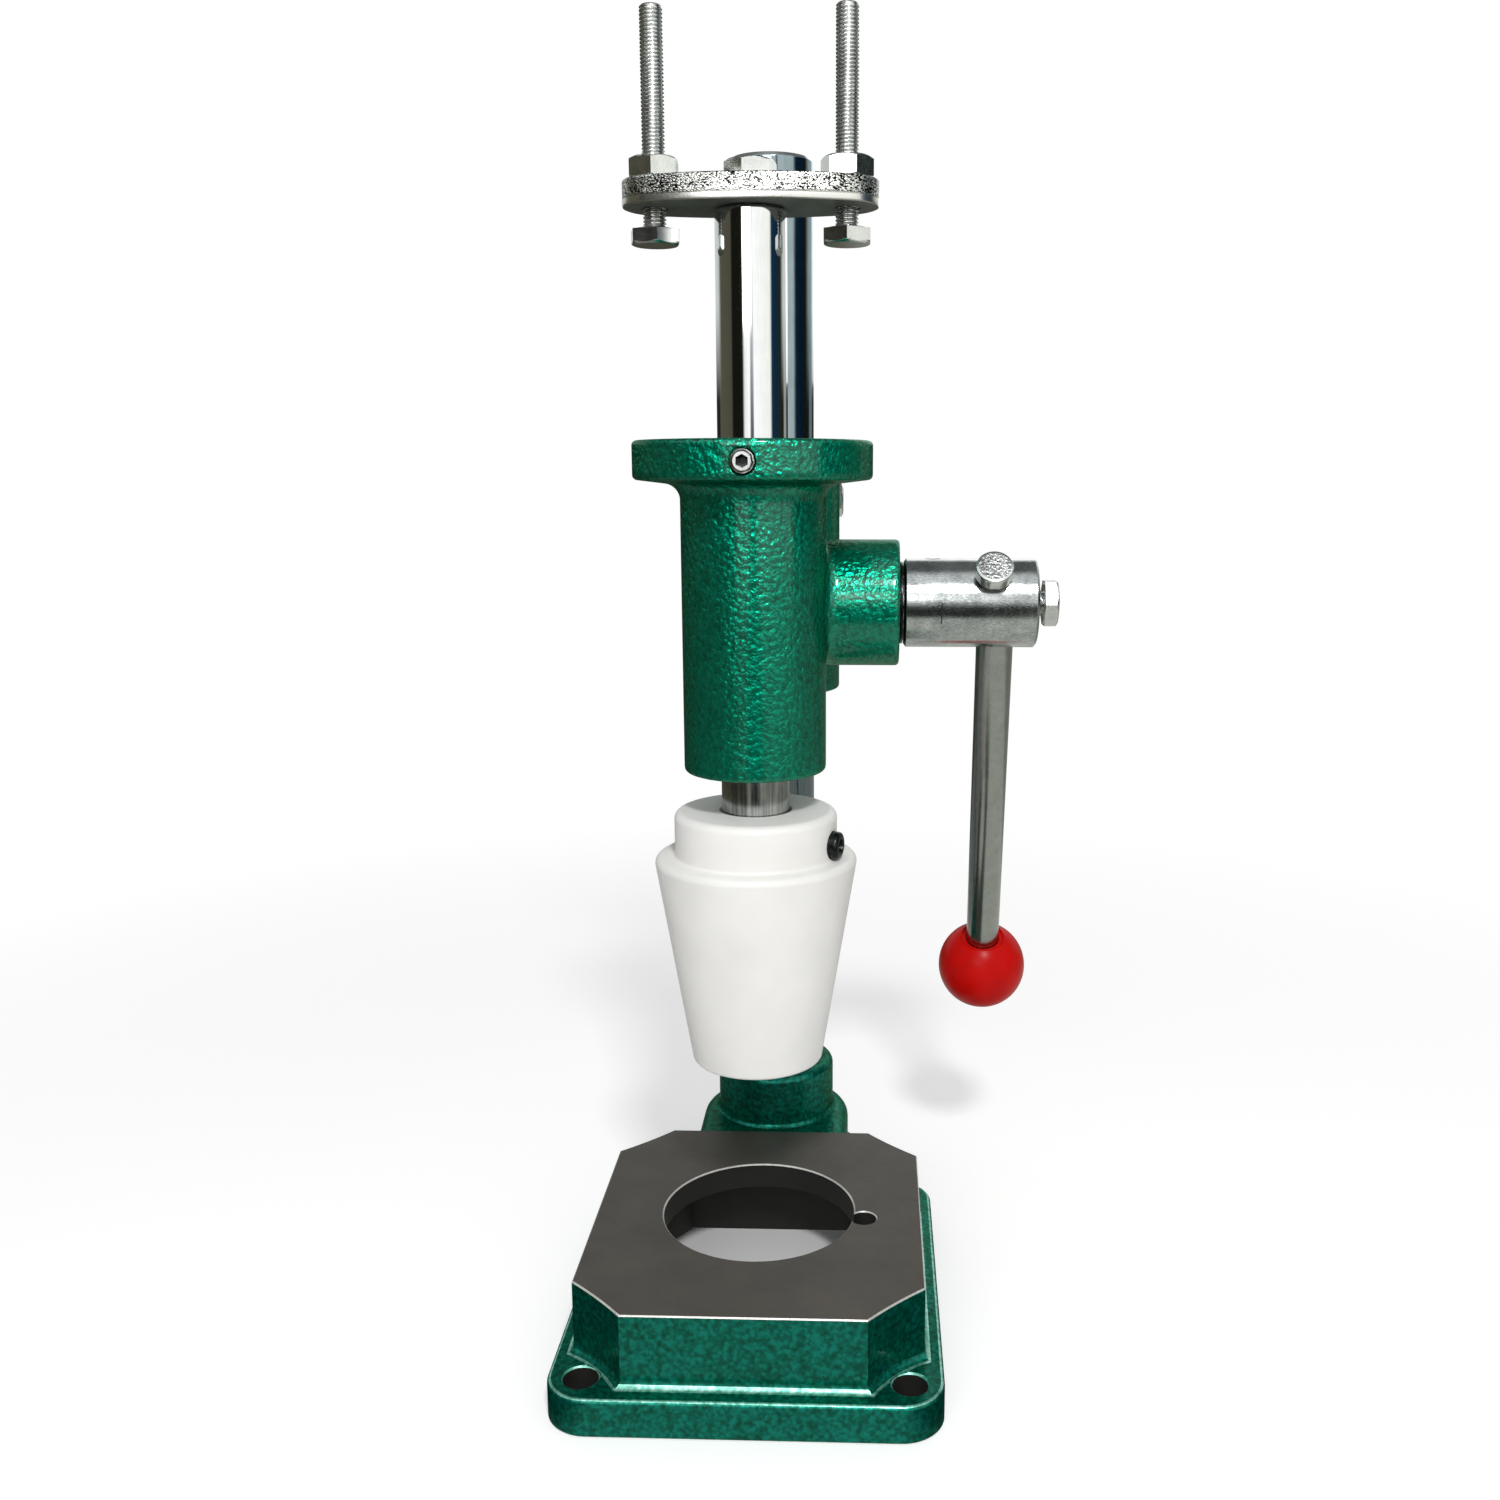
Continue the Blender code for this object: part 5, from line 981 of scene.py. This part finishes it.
shows(made, "ram", "plate_washer", slot="zinc_steel")
made = bolt("plate_bolt_hexagon", M8, STOP_ACROSS, M8_HEAD, 27.9, (0, RAM_Y, SEAT + 1.3), Z,
            math.radians(-14.0))
shows(made, "ram", "plate_centre_bolt", slot="zinc_steel")

# %% [markdown]
# Two bolts pull the lugs together and clamp the head on the column. Socket screws lock the column
# in the base, hold the bush in the boss, and press a slug on the ram, which gives it some drag.

# %% Fasteners of the head and the base
CLAMP_ACROSS, CLAMP_LONG, CLAMP_NUT_HIGH = 13, 55.9, 6.8

for key, z in CLAMP_HEIGHTS.items():
    made = washer(f"clamp_washer_{key}_pressed", ZINC, M8_HOLE, 8.0, 1.6, (22.1, CLAMP_Y, z), X)
    shows(made, "head", f"clamp_washer_{key}", slot="zinc_steel")
    made = bolt(f"clamp_bolt_{key}_hexagon", M8, CLAMP_ACROSS, M8_HEAD, CLAMP_LONG, (24.0, CLAMP_Y, z), X,
                sides=36)
    shows(made, "head", f"clamp_bolt_{key}", slot="zinc_steel")
    made = nut(f"clamp_nut_{key}_hexagon", ZINC, M8_NUT_BORE, CLAMP_ACROSS, CLAMP_NUT_HIGH,
               (-22.1, CLAMP_Y, z), BACK_X)
    shows(made, "head", f"clamp_nut_{key}", slot="zinc_steel")
made = grub("friction_screw_socket", ZINC, M8, 25.5, 4.0, 3.0, (0, RAM_Y - 44.6, FRICTION_Z), FRONT)
shows(made, "head", "friction_screw", slot="zinc_steel")
made = grub("column_screw_socket", BLACK_OXIDE, M8, 9.2, 4.0, 3.0, (0, 27.0, 53.0), Y)
shows(made, "base", "column_set_screw", slot="dark_steel")
made = grub("bush_screw_socket", BLACK_OXIDE, M6, 7.0, 3.0, 2.5, (38, PINION_Y + 22.5, PINION_Z), Y)
shows(made, "head", "bush_set_screw", slot="dark_steel")

# %% [markdown]
# The stop plate is an oval: two long shallow arcs joined by round ends. Its rims are rounded and
# its holes are chamfered. A squashed circle would be quicker, but its ends would be too pointed.

# %% Stop plate
PLATE_HALF, PLATE_END, PLATE_END_X = 19.0, 14.5, 29.75


def plate_outline(inset=0.0, steps=24):
    """Two long arcs and two round ends: the long arc meets an end where both share a normal."""
    half, end = PLATE_HALF - inset, PLATE_END - inset
    rise = half - end
    drop = (PLATE_END_X**2 - rise**2) / (2 * rise)
    long_radius, meet = half + drop, math.atan2(PLATE_END_X, drop)
    turn = meet * (1 - 2 * np.arange(steps + 1) / steps)
    long_arc = np.column_stack([long_radius * np.sin(turn), long_radius * np.cos(turn) - drop])
    turn = -meet - (np.pi - 2 * meet) * np.arange(1, steps) / steps
    round_end = np.column_stack([end * np.sin(turn) - PLATE_END_X, end * np.cos(turn)])
    half_path = np.concatenate([long_arc, round_end])
    return np.concatenate([half_path, -half_path]) + (0, RAM_Y)


sheared = [(plate_outline(inset), PLATE_LOW + up) for inset, up in (
    (0.8, 0), (0.25, 0.2), (0.02, 0.8), (0, 2.9), (0.12, COAT_FROM))]
coated = [(plate_outline(0.05), PLATE_HIGH - 1.0)]
coated += brow(lambda inset: plate_outline(0.05 + inset), PLATE_HIGH, 0.8, 4)
plate = skinned("stop_plate_oval", lifted(sheared + coated))
combined(plate, [turned(f"plate_hole_{k}", [
    (5.0, PLATE_LOW - 0.4, 0), (M8_HOLE, PLATE_LOW + 0.5, 0), (M8_HOLE, PLATE_HIGH - 0.5, 0),
    (5.0, PLATE_HIGH + 0.4, 0)], at=(x, RAM_Y, 0), sides=48) for k, x in enumerate((-STOP_X, 0, STOP_X))])
middle, normal = face_middles(plate)
# Faces that look down are a darker grey.
painted(plate, [GALVANISED, DARK_GREY_UNDERSIDE], normal[:, 2] < -0.6)
shows(plate, "ram", "stop_plate", slot="zinc_steel")

# %% [markdown]
# The punch is turned from white acetal. Light goes a little way into it, so its shade is soft, and
# the lathe leaves rings too fine to see except as a satin gloss. The knob is moulded phenolic, hard
# and evenly red, with a gloss that is a little dull from hands.

# %% White acetal and red phenolic
def acetal():
    """Rings of 0.45 mm, flat across and close along the axis, which move gloss and height."""
    material, tree, where = new_material("white_acetal_turned")
    round_about = node(tree, "Mapping", where, Scale=(0.05, 0.05, 1))
    rings = node(tree, "TexNoise", Vector=round_about, Scale=per_mm(0.45), Detail=3.0)
    cloud = node(tree, "TexNoise", Vector=where, Scale=per_mm(25))
    plastic = node(tree, "BsdfPrincipled", IOR=1.48, Subsurface_Weight=0.2,
                   Subsurface_Radius=(4 * MM, 4 * MM, 3.5 * MM),
                   Base_Color=node(tree, "ValToRGB", cloud, stops=[(0.3, "#E9E8E4"), (0.7, "#F0EFEC")]),
                   Roughness=node(tree, "MapRange", rings, 0.3, 0.7, 0.42, 0.52),
                   Normal=node(tree, "Bump", Distance=0.012 * MM, Height=rings))
    node(tree, "OutputMaterial", plastic)
    return material


def phenolic():
    """Clouds of 9 mm in colour and gloss, and the mould's soft unevenness of 6 mm."""
    material, tree, where = new_material("red_phenolic_moulded")
    cloud = node(tree, "TexNoise", Vector=where, Scale=per_mm(9), Detail=3.0)
    uneven = node(tree, "TexNoise", Vector=where, Scale=per_mm(6))
    plastic = node(tree, "BsdfPrincipled", Specular_IOR_Level=0.12,
                   Base_Color=node(tree, "ValToRGB", cloud, stops=[(0.3, "#B80703"), (0.7, "#C60A05")]),
                   Roughness=node(tree, "MapRange", cloud, 0.3, 0.7, 0.30, 0.38),
                   Normal=node(tree, "Bump", Distance=0.02 * MM, Height=uneven))
    node(tree, "OutputMaterial", plastic)
    return material


ACETAL, PHENOLIC = acetal(), phenolic()

# %% [markdown]
# The punch is a cone with a collar, bored for the ram. Two domed screws in flat-bottomed pockets
# hold it on the ram's end. They aren't driven in alike, so one stands out further.

# %% Punch and its screws
PUNCH_LOW, PUNCH_SHOULDER, PUNCH_HIGH, SCREW_Z = 105.8, 185.6, 202.5, 191.1
TIP_RADIUS, SHOULDER_RADIUS, COLLAR_RADIUS, PUNCH_BORE, MOUTH_RADIUS = 24.4, 37.9, 30.1, 12.8, 13.4
BORE_END, MOUTH_DEEP, DOME_HIGH = 166.2, 5, 4.8
SCREW_TURN = math.radians(-17)
SCREW_WAY = np.array([math.cos(SCREW_TURN), math.sin(SCREW_TURN), 0])
SCREWS = {"left": (-SCREW_WAY, 31.3), "right": (SCREW_WAY, 33.4)}

punch = turned("punch_turned", [
    (8, PUNCH_LOW, 0), (TIP_RADIUS, PUNCH_LOW, 1.5), (SHOULDER_RADIUS, PUNCH_SHOULDER, 2.6),
    (COLLAR_RADIUS, PUNCH_SHOULDER, 1.2), (COLLAR_RADIUS, PUNCH_HIGH, 3.0), (MOUTH_RADIUS, PUNCH_HIGH, 0.3),
    (MOUTH_RADIUS, PUNCH_HIGH - MOUTH_DEEP, 0), (PUNCH_BORE, PUNCH_HIGH - MOUTH_DEEP - 0.4, 0),
    (PUNCH_BORE, BORE_END, 0), (8, BORE_END, 0)], at=(0, RAM_Y, 0), sides=144, steps=8)
pockets = [turned(f"pocket_{side}", [(3.3, 14, 0), (3.3, high - 5.1, 0), (5.4, high - 5.1, 0), (5.4, 36, 0)],
                  at=(0, RAM_Y, SCREW_Z), along=way, sides=48) for side, (way, high) in SCREWS.items()]
shows(all_painted(combined(punch, pockets), ACETAL), "ram", "punch", slot="white_plastic")
for side, (way, high) in SCREWS.items():
    made = turned(f"punch_screw_{side}_domed", [
        (1.5, PUNCH_BORE, 0), (2.9, 13.4, 0), (2.9, high - DOME_HIGH, 0), (5.1, high - DOME_HIGH, 0.2),
        (5.1, high - 0.2, 1.3), (2.6, high, 0.4), (2.2, high - 1.7, 0), (0.5, high - 1.9, 0)],
        [BLACK_OXIDE], at=(0, RAM_Y, SCREW_Z), along=way, sides=48)
    shows(made, "ram", f"punch_screw_{side}", slot="dark_steel")

# %% [markdown]
# The lever's hub is bright turned steel, with faint rings round its axis and a chamfer at each end.
# It is bored for the shaft, the rod, the pin and two bolts, and a short line is scribed beside the
# pin.

# %% Lever hub
HUB_LEFT, HUB_LONG, HUB_RADIUS, HUB_FACE, HUB_CHAMFER = BOSS_RIGHT + 1.6, 49.4, 16.5, 15.3, 0.9
HUB_RIGHT, PIN_X = HUB_LEFT + HUB_LONG, HUB_LEFT + 10.9
ROD_X, LOCK_X = HUB_RIGHT - 14.7, HUB_RIGHT - 17.0
LEAN, SWING, LOCK_RISE, LINE_DIP = math.radians(1.1), math.radians(24), math.radians(38.5), 0.16
ROD_WAY = np.array([math.sin(LEAN), math.cos(LEAN) * math.sin(SWING), -math.cos(LEAN) * math.cos(SWING)])
LOCK_WAY = np.array([0, -math.cos(LOCK_RISE), math.sin(LOCK_RISE)])
LEVER = np.array([0, PINION_Y, PINION_Z])  # a point of the axis that the lever turns on

hub = turned("lever_hub_turned", [
    (8, 0, 0), (HUB_FACE, 0, 0.3), (HUB_RADIUS, HUB_CHAMFER, 0.3), (HUB_RADIUS, HUB_LONG - HUB_CHAMFER, 0.3),
    (HUB_FACE, HUB_LONG, 0.3), (8, HUB_LONG, 0)], at=LEVER + (HUB_LEFT, 0, 0), along=X, sides=128, steps=3)
line_plan = np.array([(-4, -0.2), (4, -0.2), (4, 0.2), (-4, 0.2)])
line_rows = lifted([(line_plan, HUB_RADIUS - 0.5), (line_plan, HUB_RADIUS + 2)])
line_way = (0, -math.cos(LINE_DIP), -math.sin(LINE_DIP))
bores = [turned(f"{use}_bore", [(radius, low, 0), (radius, high, 0)],
                at=LEVER + (x, 0, 0), along=way, sides=sides)
         for use, radius, low, high, x, way, sides in (
             ("shaft", 10.3, -3, 21.2, HUB_LEFT, X, 96), ("rod", 7.3, -5.3, 25, ROD_X, ROD_WAY, 96),
             ("lock", M8_HOLE, 2.5, 25, LOCK_X, LOCK_WAY, 48), ("end", 5.3, ROD_X, 110, 0, X, 48),
             ("pin", 2.8, -20, 20, PIN_X, Z, 32))]
line = skinned("scribed_line", placed(line_rows, LEVER + (68, 0, 0), line_way, math.pi / 2))
combined(hub, [*bores, line])
shows(all_painted(hub, TURNED), "lever", "lever_hub", slot="turned_steel")

# %% [markdown]
# A pin through the hub holds it on the shaft, and a thin ring keeps it off the boss. The rod goes
# through the hub.

# %% Pin, ring and rod of the lever
PIN_END, ROD_RADIUS, ROD_LOW, ROD_HIGH = HUB_RADIUS - 0.3, 7, -5, 189

pin = turned("hub_pin_ground", [
    (1, -PIN_END, 0), (2.2, -PIN_END, 0), (2.5, 0.35 - PIN_END, 0), (2.5, PIN_END - 0.35, 0),
    (2.2, PIN_END, 0), (1, PIN_END, 0)], [BLACK_OXIDE], at=LEVER + (PIN_X, 0, 0), sides=32)
shows(pin, "lever", "hub_pin", slot="dark_steel")
ring = washer("thrust_washer_ground", BLACK_OXIDE, 10.3, HUB_FACE, 1.0, LEVER + (BOSS_RIGHT + 0.3, 0, 0), X)
shows(ring, "lever", "thrust_washer", slot="dark_steel")
rod = turned("lever_rod_drawn", [
    (3, ROD_LOW, 0), (6.2, ROD_LOW, 0), (ROD_RADIUS, ROD_LOW + 0.8, 0.2), (ROD_RADIUS, ROD_HIGH - 0.8, 0.2),
    (6.2, ROD_HIGH, 0), (3, ROD_HIGH, 0)], [SATIN], at=LEVER + (ROD_X, 0, 0), along=ROD_WAY, steps=3)
shows(rod, "lever", "lever_rod", slot="turned_steel")

# %% [markdown]
# The knob is a ball with a flat neck where the rod goes in. Its profile is an arc that starts at
# the neck: at angle t from the axis the radius is R * sin t and the height -R * cos t.

# %% Ball knob
BALL_RADIUS, NECK_RADIUS, BALL_BORE, BALL_REACH = 19.0, 9.5, 7.3, 184

turns = np.linspace(math.asin(NECK_RADIUS / BALL_RADIUS), math.pi - 0.02, 64)
neck = -BALL_RADIUS * math.cos(turns[0]) + 0.7
arc = [(BALL_RADIUS * math.sin(t), -BALL_RADIUS * math.cos(t)) for t in turns]
ball_profile = [(BALL_BORE, 5 - BALL_RADIUS), (BALL_BORE, neck), (NECK_RADIUS - 0.7, neck), *arc]
ball_place = LEVER + (ROD_X, 0, 0) + ROD_WAY * BALL_REACH
ball = skinned("ball_knob_moulded", placed(circles(ball_profile, 96), ball_place, ROD_WAY), [PHENOLIC])
shows(ball, "lever", "ball_knob", slot="red_plastic")

# %% [markdown]
# One bolt jams against the rod from the front, and another closes the hub's end. The lock bolt's
# head is domed, with the die's skin and painted glints on its top.

# %% Bolts of the lever
lock = bolt("lever_lock_bolt_hexagon", M8, 13.4, M8_HEAD, 11.0,
            LEVER + (LOCK_X, 0, 0) + LOCK_WAY * (HUB_RADIUS + 2.2), LOCK_WAY, math.radians(30), round_to=6.95)
shows(lock, "lever", "lever_lock_bolt", slot="zinc_steel")
end = bolt("hub_end_bolt_hexagon", M10, 16.4, 5.4, 10.0, LEVER + (HUB_RIGHT + 2.6, 0, 0), X, math.radians(30))
shows(end, "lever", "hub_end_bolt", slot="zinc_steel")

# %% [markdown]
# The toothed shaft, its bush and the slug on the ram are inside the castings. The CAD model's own
# meshes are good enough for them and stay as they are, and only their finish is new.

# %% Pieces that stay as the CAD made them
for name, material in {"pinion_shaft": SATIN, "pinion_bush": BRONZE, "friction_pad": BRONZE}.items():
    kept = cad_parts[name]
    kept.data.materials.clear()
    kept.data.materials.append(material)
    print(name, "keeps its mesh")

# %% [markdown]
# The photographed camera stands in front, a little to the right and above, and looks down by ten
# degrees. Its place was worked out from the press itself: edges whose real sizes are known have
# to fall where the photograph shows them. Focal length and centre are in pixels of the photograph.

# %% Camera
FOCAL, CENTRE_X, CENTRE_Y, FRAME_SIDE = 1423.62, 821.47, 739.34, 1500
LENS_PLACE, YAW, LOOK_DOWN = (42.18, -615.5, 324.12), math.radians(1.99), math.radians(10.52)

lens = bpy.data.cameras.new("photo_camera")
lens.sensor_width = 36
lens.lens = FOCAL / FRAME_SIDE * lens.sensor_width
lens.shift_x = (FRAME_SIDE / 2 - CENTRE_X) / FRAME_SIDE
lens.shift_y = (CENTRE_Y - FRAME_SIDE / 2) / FRAME_SIDE
camera = bpy.data.objects.new("photo_camera", lens)
bpy.context.scene.collection.objects.link(camera)
camera.matrix_world = (Matrix.Translation(Vector(LENS_PLACE) * MM) @ Matrix.Rotation(YAW, 4, "Z")
                       @ Matrix.Rotation(math.radians(90) - LOOK_DOWN, 4, "X"))
bpy.context.scene.camera = camera
bpy.context.scene.view_settings.view_transform = "Standard"
print("lens:", round(lens.lens, 1), "mm")

# %% [markdown]
# Chrome has no colour of its own, so what it mirrors matters. A product studio has bright cloths
# and black cards. The world does that job here: rays from mirrors see a ring of cards, a lamp cloth
# overhead and a pale wall behind, everything else sees a soft white room, and the camera sees
# white. The world isn't sampled as a lamp, because a lamp's rays don't say that they go to a
# mirror, and would bring it the room. The ramp goes once round the press from the rear by way of
# the left, the front and the right, and each card is a pair of stops.

# %% Cards round the press
world = bpy.data.worlds.new("studio")
bpy.context.scene.world = world
world.use_nodes = True
world.cycles.sampling_method = "NONE"
tree = world.node_tree
tree.nodes.clear()
way = node(tree, "SeparateXYZ", node(tree, "TexCoord").outputs["Generated"])
side, back, up = way.outputs
azimuth = node(tree, "Math ARCTAN2", side, node(tree, "Math MULTIPLY", back, -1.0))
left_cards = [(0.00, "#2A2B26"), (0.15, "#1E1E1A"), (0.17, "#515043"), (0.32, "#4A483C"),
              (0.335, "#141511"), (0.43, "#141511")]
front_cloth = [(0.447, "#E8EAE8"), (0.49, "#FFFFFF"), (0.508, "#C4C8C8"), (0.526, "#FFFFFF"),
               (0.68, "#F0F2EC")]
right_cards = [(0.70, "#152B3C"), (0.76, "#09273E"), (0.775, "#202520"), (0.85, "#191D17"),
               (0.86, "#8A918F"), (0.90, "#8A918F"), (0.92, "#2A2B26"), (1.00, "#2A2B26")]
cards = node(tree, "ValToRGB", node(tree, "MapRange", azimuth, -math.pi, math.pi),
             stops=left_cards + front_cloth + right_cards)
print("cards:", len(cards.color_ramp.elements), "stops")

# %% [markdown]
# Level faces mirror what is above, so the ring gives way to a cloth overhead, bright in front and
# dark behind. Tops that are seen at a low angle mirror a pale wall behind. A dark patch low in front
# gives the hub and the bolts the dark middles that they have.

# %% Overhead cloth, rear wall and the light they give
overhead = node(tree, "Mix", node(tree, "MapRange", back, -0.2, 0.1),
                "#E2E5E6", "#626666", data_type="RGBA")
above = node(tree, "Mix", node(tree, "MapRange", up, 0.35, 0.5), cards, overhead, data_type="RGBA")
heights = node(tree, "Math MULTIPLY", node(tree, "MapRange", up, 0.05, 0.11),
               node(tree, "MapRange", up, 0.4, 0.5, 1, 0))
wall = node(tree, "Math MULTIPLY", node(tree, "MapRange", back, 0.35, 0.6), heights)
walled = node(tree, "Mix", wall, above, "#C2C6C4", data_type="RGBA")
off_axis = node(tree, "Math ABSOLUTE", node(tree, "Math SUBTRACT", azimuth, math.radians(4)))
dark_patch = node(tree, "Math MULTIPLY", node(tree, "MapRange", off_axis, 0.07, 0.12, 1, 0),
                  node(tree, "MapRange", up, 0.03, 0.13, 0.9, 0))
mirrored = node(tree, "Mix", dark_patch, walled, "#272A2B", data_type="RGBA")
rays = node(tree, "LightPath")
room = node(tree, "Background", "#FFFFFF", 0.43)
studio = node(tree, "Background", mirrored, 1.3)
white = node(tree, "Background", "#FFFFFF", 1.0)
glossy = node(tree, "MixShader", rays.outputs["Is Glossy Ray"], room, studio)
node(tree, "OutputWorld", node(tree, "MixShader", rays.outputs["Is Camera Ray"], glossy, white))
print("world:", len(tree.nodes), "nodes")


# %% [markdown]
# Three soft lamps model the shapes: a small strong key from the front gives the pebbles their
# glints, a large fill lightens the shade, and a weak one behind lifts the rear edges.

# %% Lamps
def lamp(name, place, size, power, aim=(0, -80, 220)):
    """A soft lamp that points at the press. Places and sizes are in millimetres, power in watts."""
    data = bpy.data.lights.new(name, "AREA")
    data.shape = "RECTANGLE"
    data.size, data.size_y = size[0] * MM, size[1] * MM
    data.energy = power
    made = bpy.data.objects.new(name, data)
    bpy.context.scene.collection.objects.link(made)
    made.location = Vector(place) * MM
    made.rotation_euler = (Vector(aim) - Vector(place)).to_track_quat("-Z", "Y").to_euler()
    print(f"{name}: {power} W")
    return made


lamp("key_front", (200, -1000, 1080), (150, 150), 9.0)
lamp("fill_front", (-200, -1250, 640), (600, 300), 2.0)
lamp("rear", (300, 900, 700), (600, 600), 1.0)

# %% [markdown]
# The floor is white paper that keeps the shadow. Near the press it is matte, and by 0.7 m it has
# faded to plain white, so it has no horizon.

# %% Floor
FLOOR_REACH, FLOOR_DROP = 4000.0, 0.05

corners = np.array([(-1, -1), (1, -1), (1, 1), (-1, 1)]) * FLOOR_REACH
floor_mesh = bpy.data.meshes.new("floor")
floor_mesh.from_pydata(np.column_stack([corners, np.full(4, -FLOOR_DROP)]) * MM, [], [[0, 1, 2, 3]])
floor = bpy.data.objects.new("floor", floor_mesh)
bpy.context.scene.collection.objects.link(floor)
paper, tree, where = new_material("white_paper_floor")
floor_mesh.materials.append(paper)
reach = node(tree, "VectorMath LENGTH", where)
side, along, up = node(tree, "SeparateXYZ", where).outputs

# %% [markdown]
# The paper glows a little, to stay white in the shade of the room, but not under the base, where
# the casting keeps the light out. What shows through the die hole is grey for that reason.

# %% Light of the paper
off_x = node(tree, "Math ABSOLUTE", side)
off_y = node(tree, "Math ABSOLUTE", node(tree, "Math ADD", along, 105 * MM))
outside = node(tree, "Math MAXIMUM", node(tree, "MapRange", off_x, 54 * MM, 60 * MM),
               node(tree, "MapRange", off_y, 61 * MM, 67 * MM))
matte = node(tree, "BsdfDiffuse", "#F4F4F4")
glow = node(tree, "Emission", "#FFFFFF", node(tree, "Math MULTIPLY", outside, 0.3))
white = node(tree, "Emission", "#FFFFFF", 1.0)
lit = node(tree, "AddShader", matte, glow)
faded = node(tree, "MixShader", node(tree, "MapRange", reach, 0.25, 0.7), lit, white)
print("paper:", len(tree.nodes), "nodes so far")

# %% [markdown]
# Mirrors that look down see the floor, where a studio has the same dark cards. So rays from mirrors
# get a tone of their own: painted shade under the press, close to a piece and on its left, pale
# further off, and beyond half a metre darker in front and grey at the sides.

# %% What mirrors see of the floor
turned_by = node(tree, "Math ARCTAN2", side, node(tree, "Math MULTIPLY", along, -1.0))
beside = node(tree, "Math ABSOLUTE", node(tree, "Math SUBTRACT", turned_by, math.radians(4)))
sides = node(tree, "Mix", node(tree, "MapRange", turned_by, -0.5, -0.2),
             "#4E4D42", "#94968F", data_type="RGBA")
away = node(tree, "Mix", node(tree, "MapRange", beside, 0.15, 0.25), "#2C302E", sides, data_type="RGBA")
rays = node(tree, "LightPath")
# Short rays and the left side get painted shade in what mirrors see.
long_ray = node(tree, "MapRange", rays.outputs["Ray Length"], 80 * MM, 140 * MM)
ahead = node(tree, "MapRange", off_x, 55 * MM, 75 * MM, 1, 0)
painted_shade_left = node(tree, "MapRange", side, -100 * MM, -60 * MM, 0.35, 1.0)
pale = node(tree, "Math MULTIPLY", node(tree, "Math MAXIMUM", long_ray, ahead), painted_shade_left)
painted_shade_near = node(tree, "Mix", pale, "#0C0D0C", "#CDCFC9", data_type="RGBA")
tone = node(tree, "Mix", node(tree, "MapRange", reach, 0.45, 0.56), painted_shade_near, away, data_type="RGBA")
glossy = node(tree, "Emission", tone, 1.0)
direct = node(tree, "Math MAXIMUM", rays.outputs["Is Camera Ray"], rays.outputs["Is Transmission Ray"])
shown = node(tree, "MixShader", direct, matte, faded)
node(tree, "OutputMaterial", node(tree, "MixShader", rays.outputs["Is Glossy Ray"], shown, glossy))
print("floor:", len(tree.nodes), "nodes")
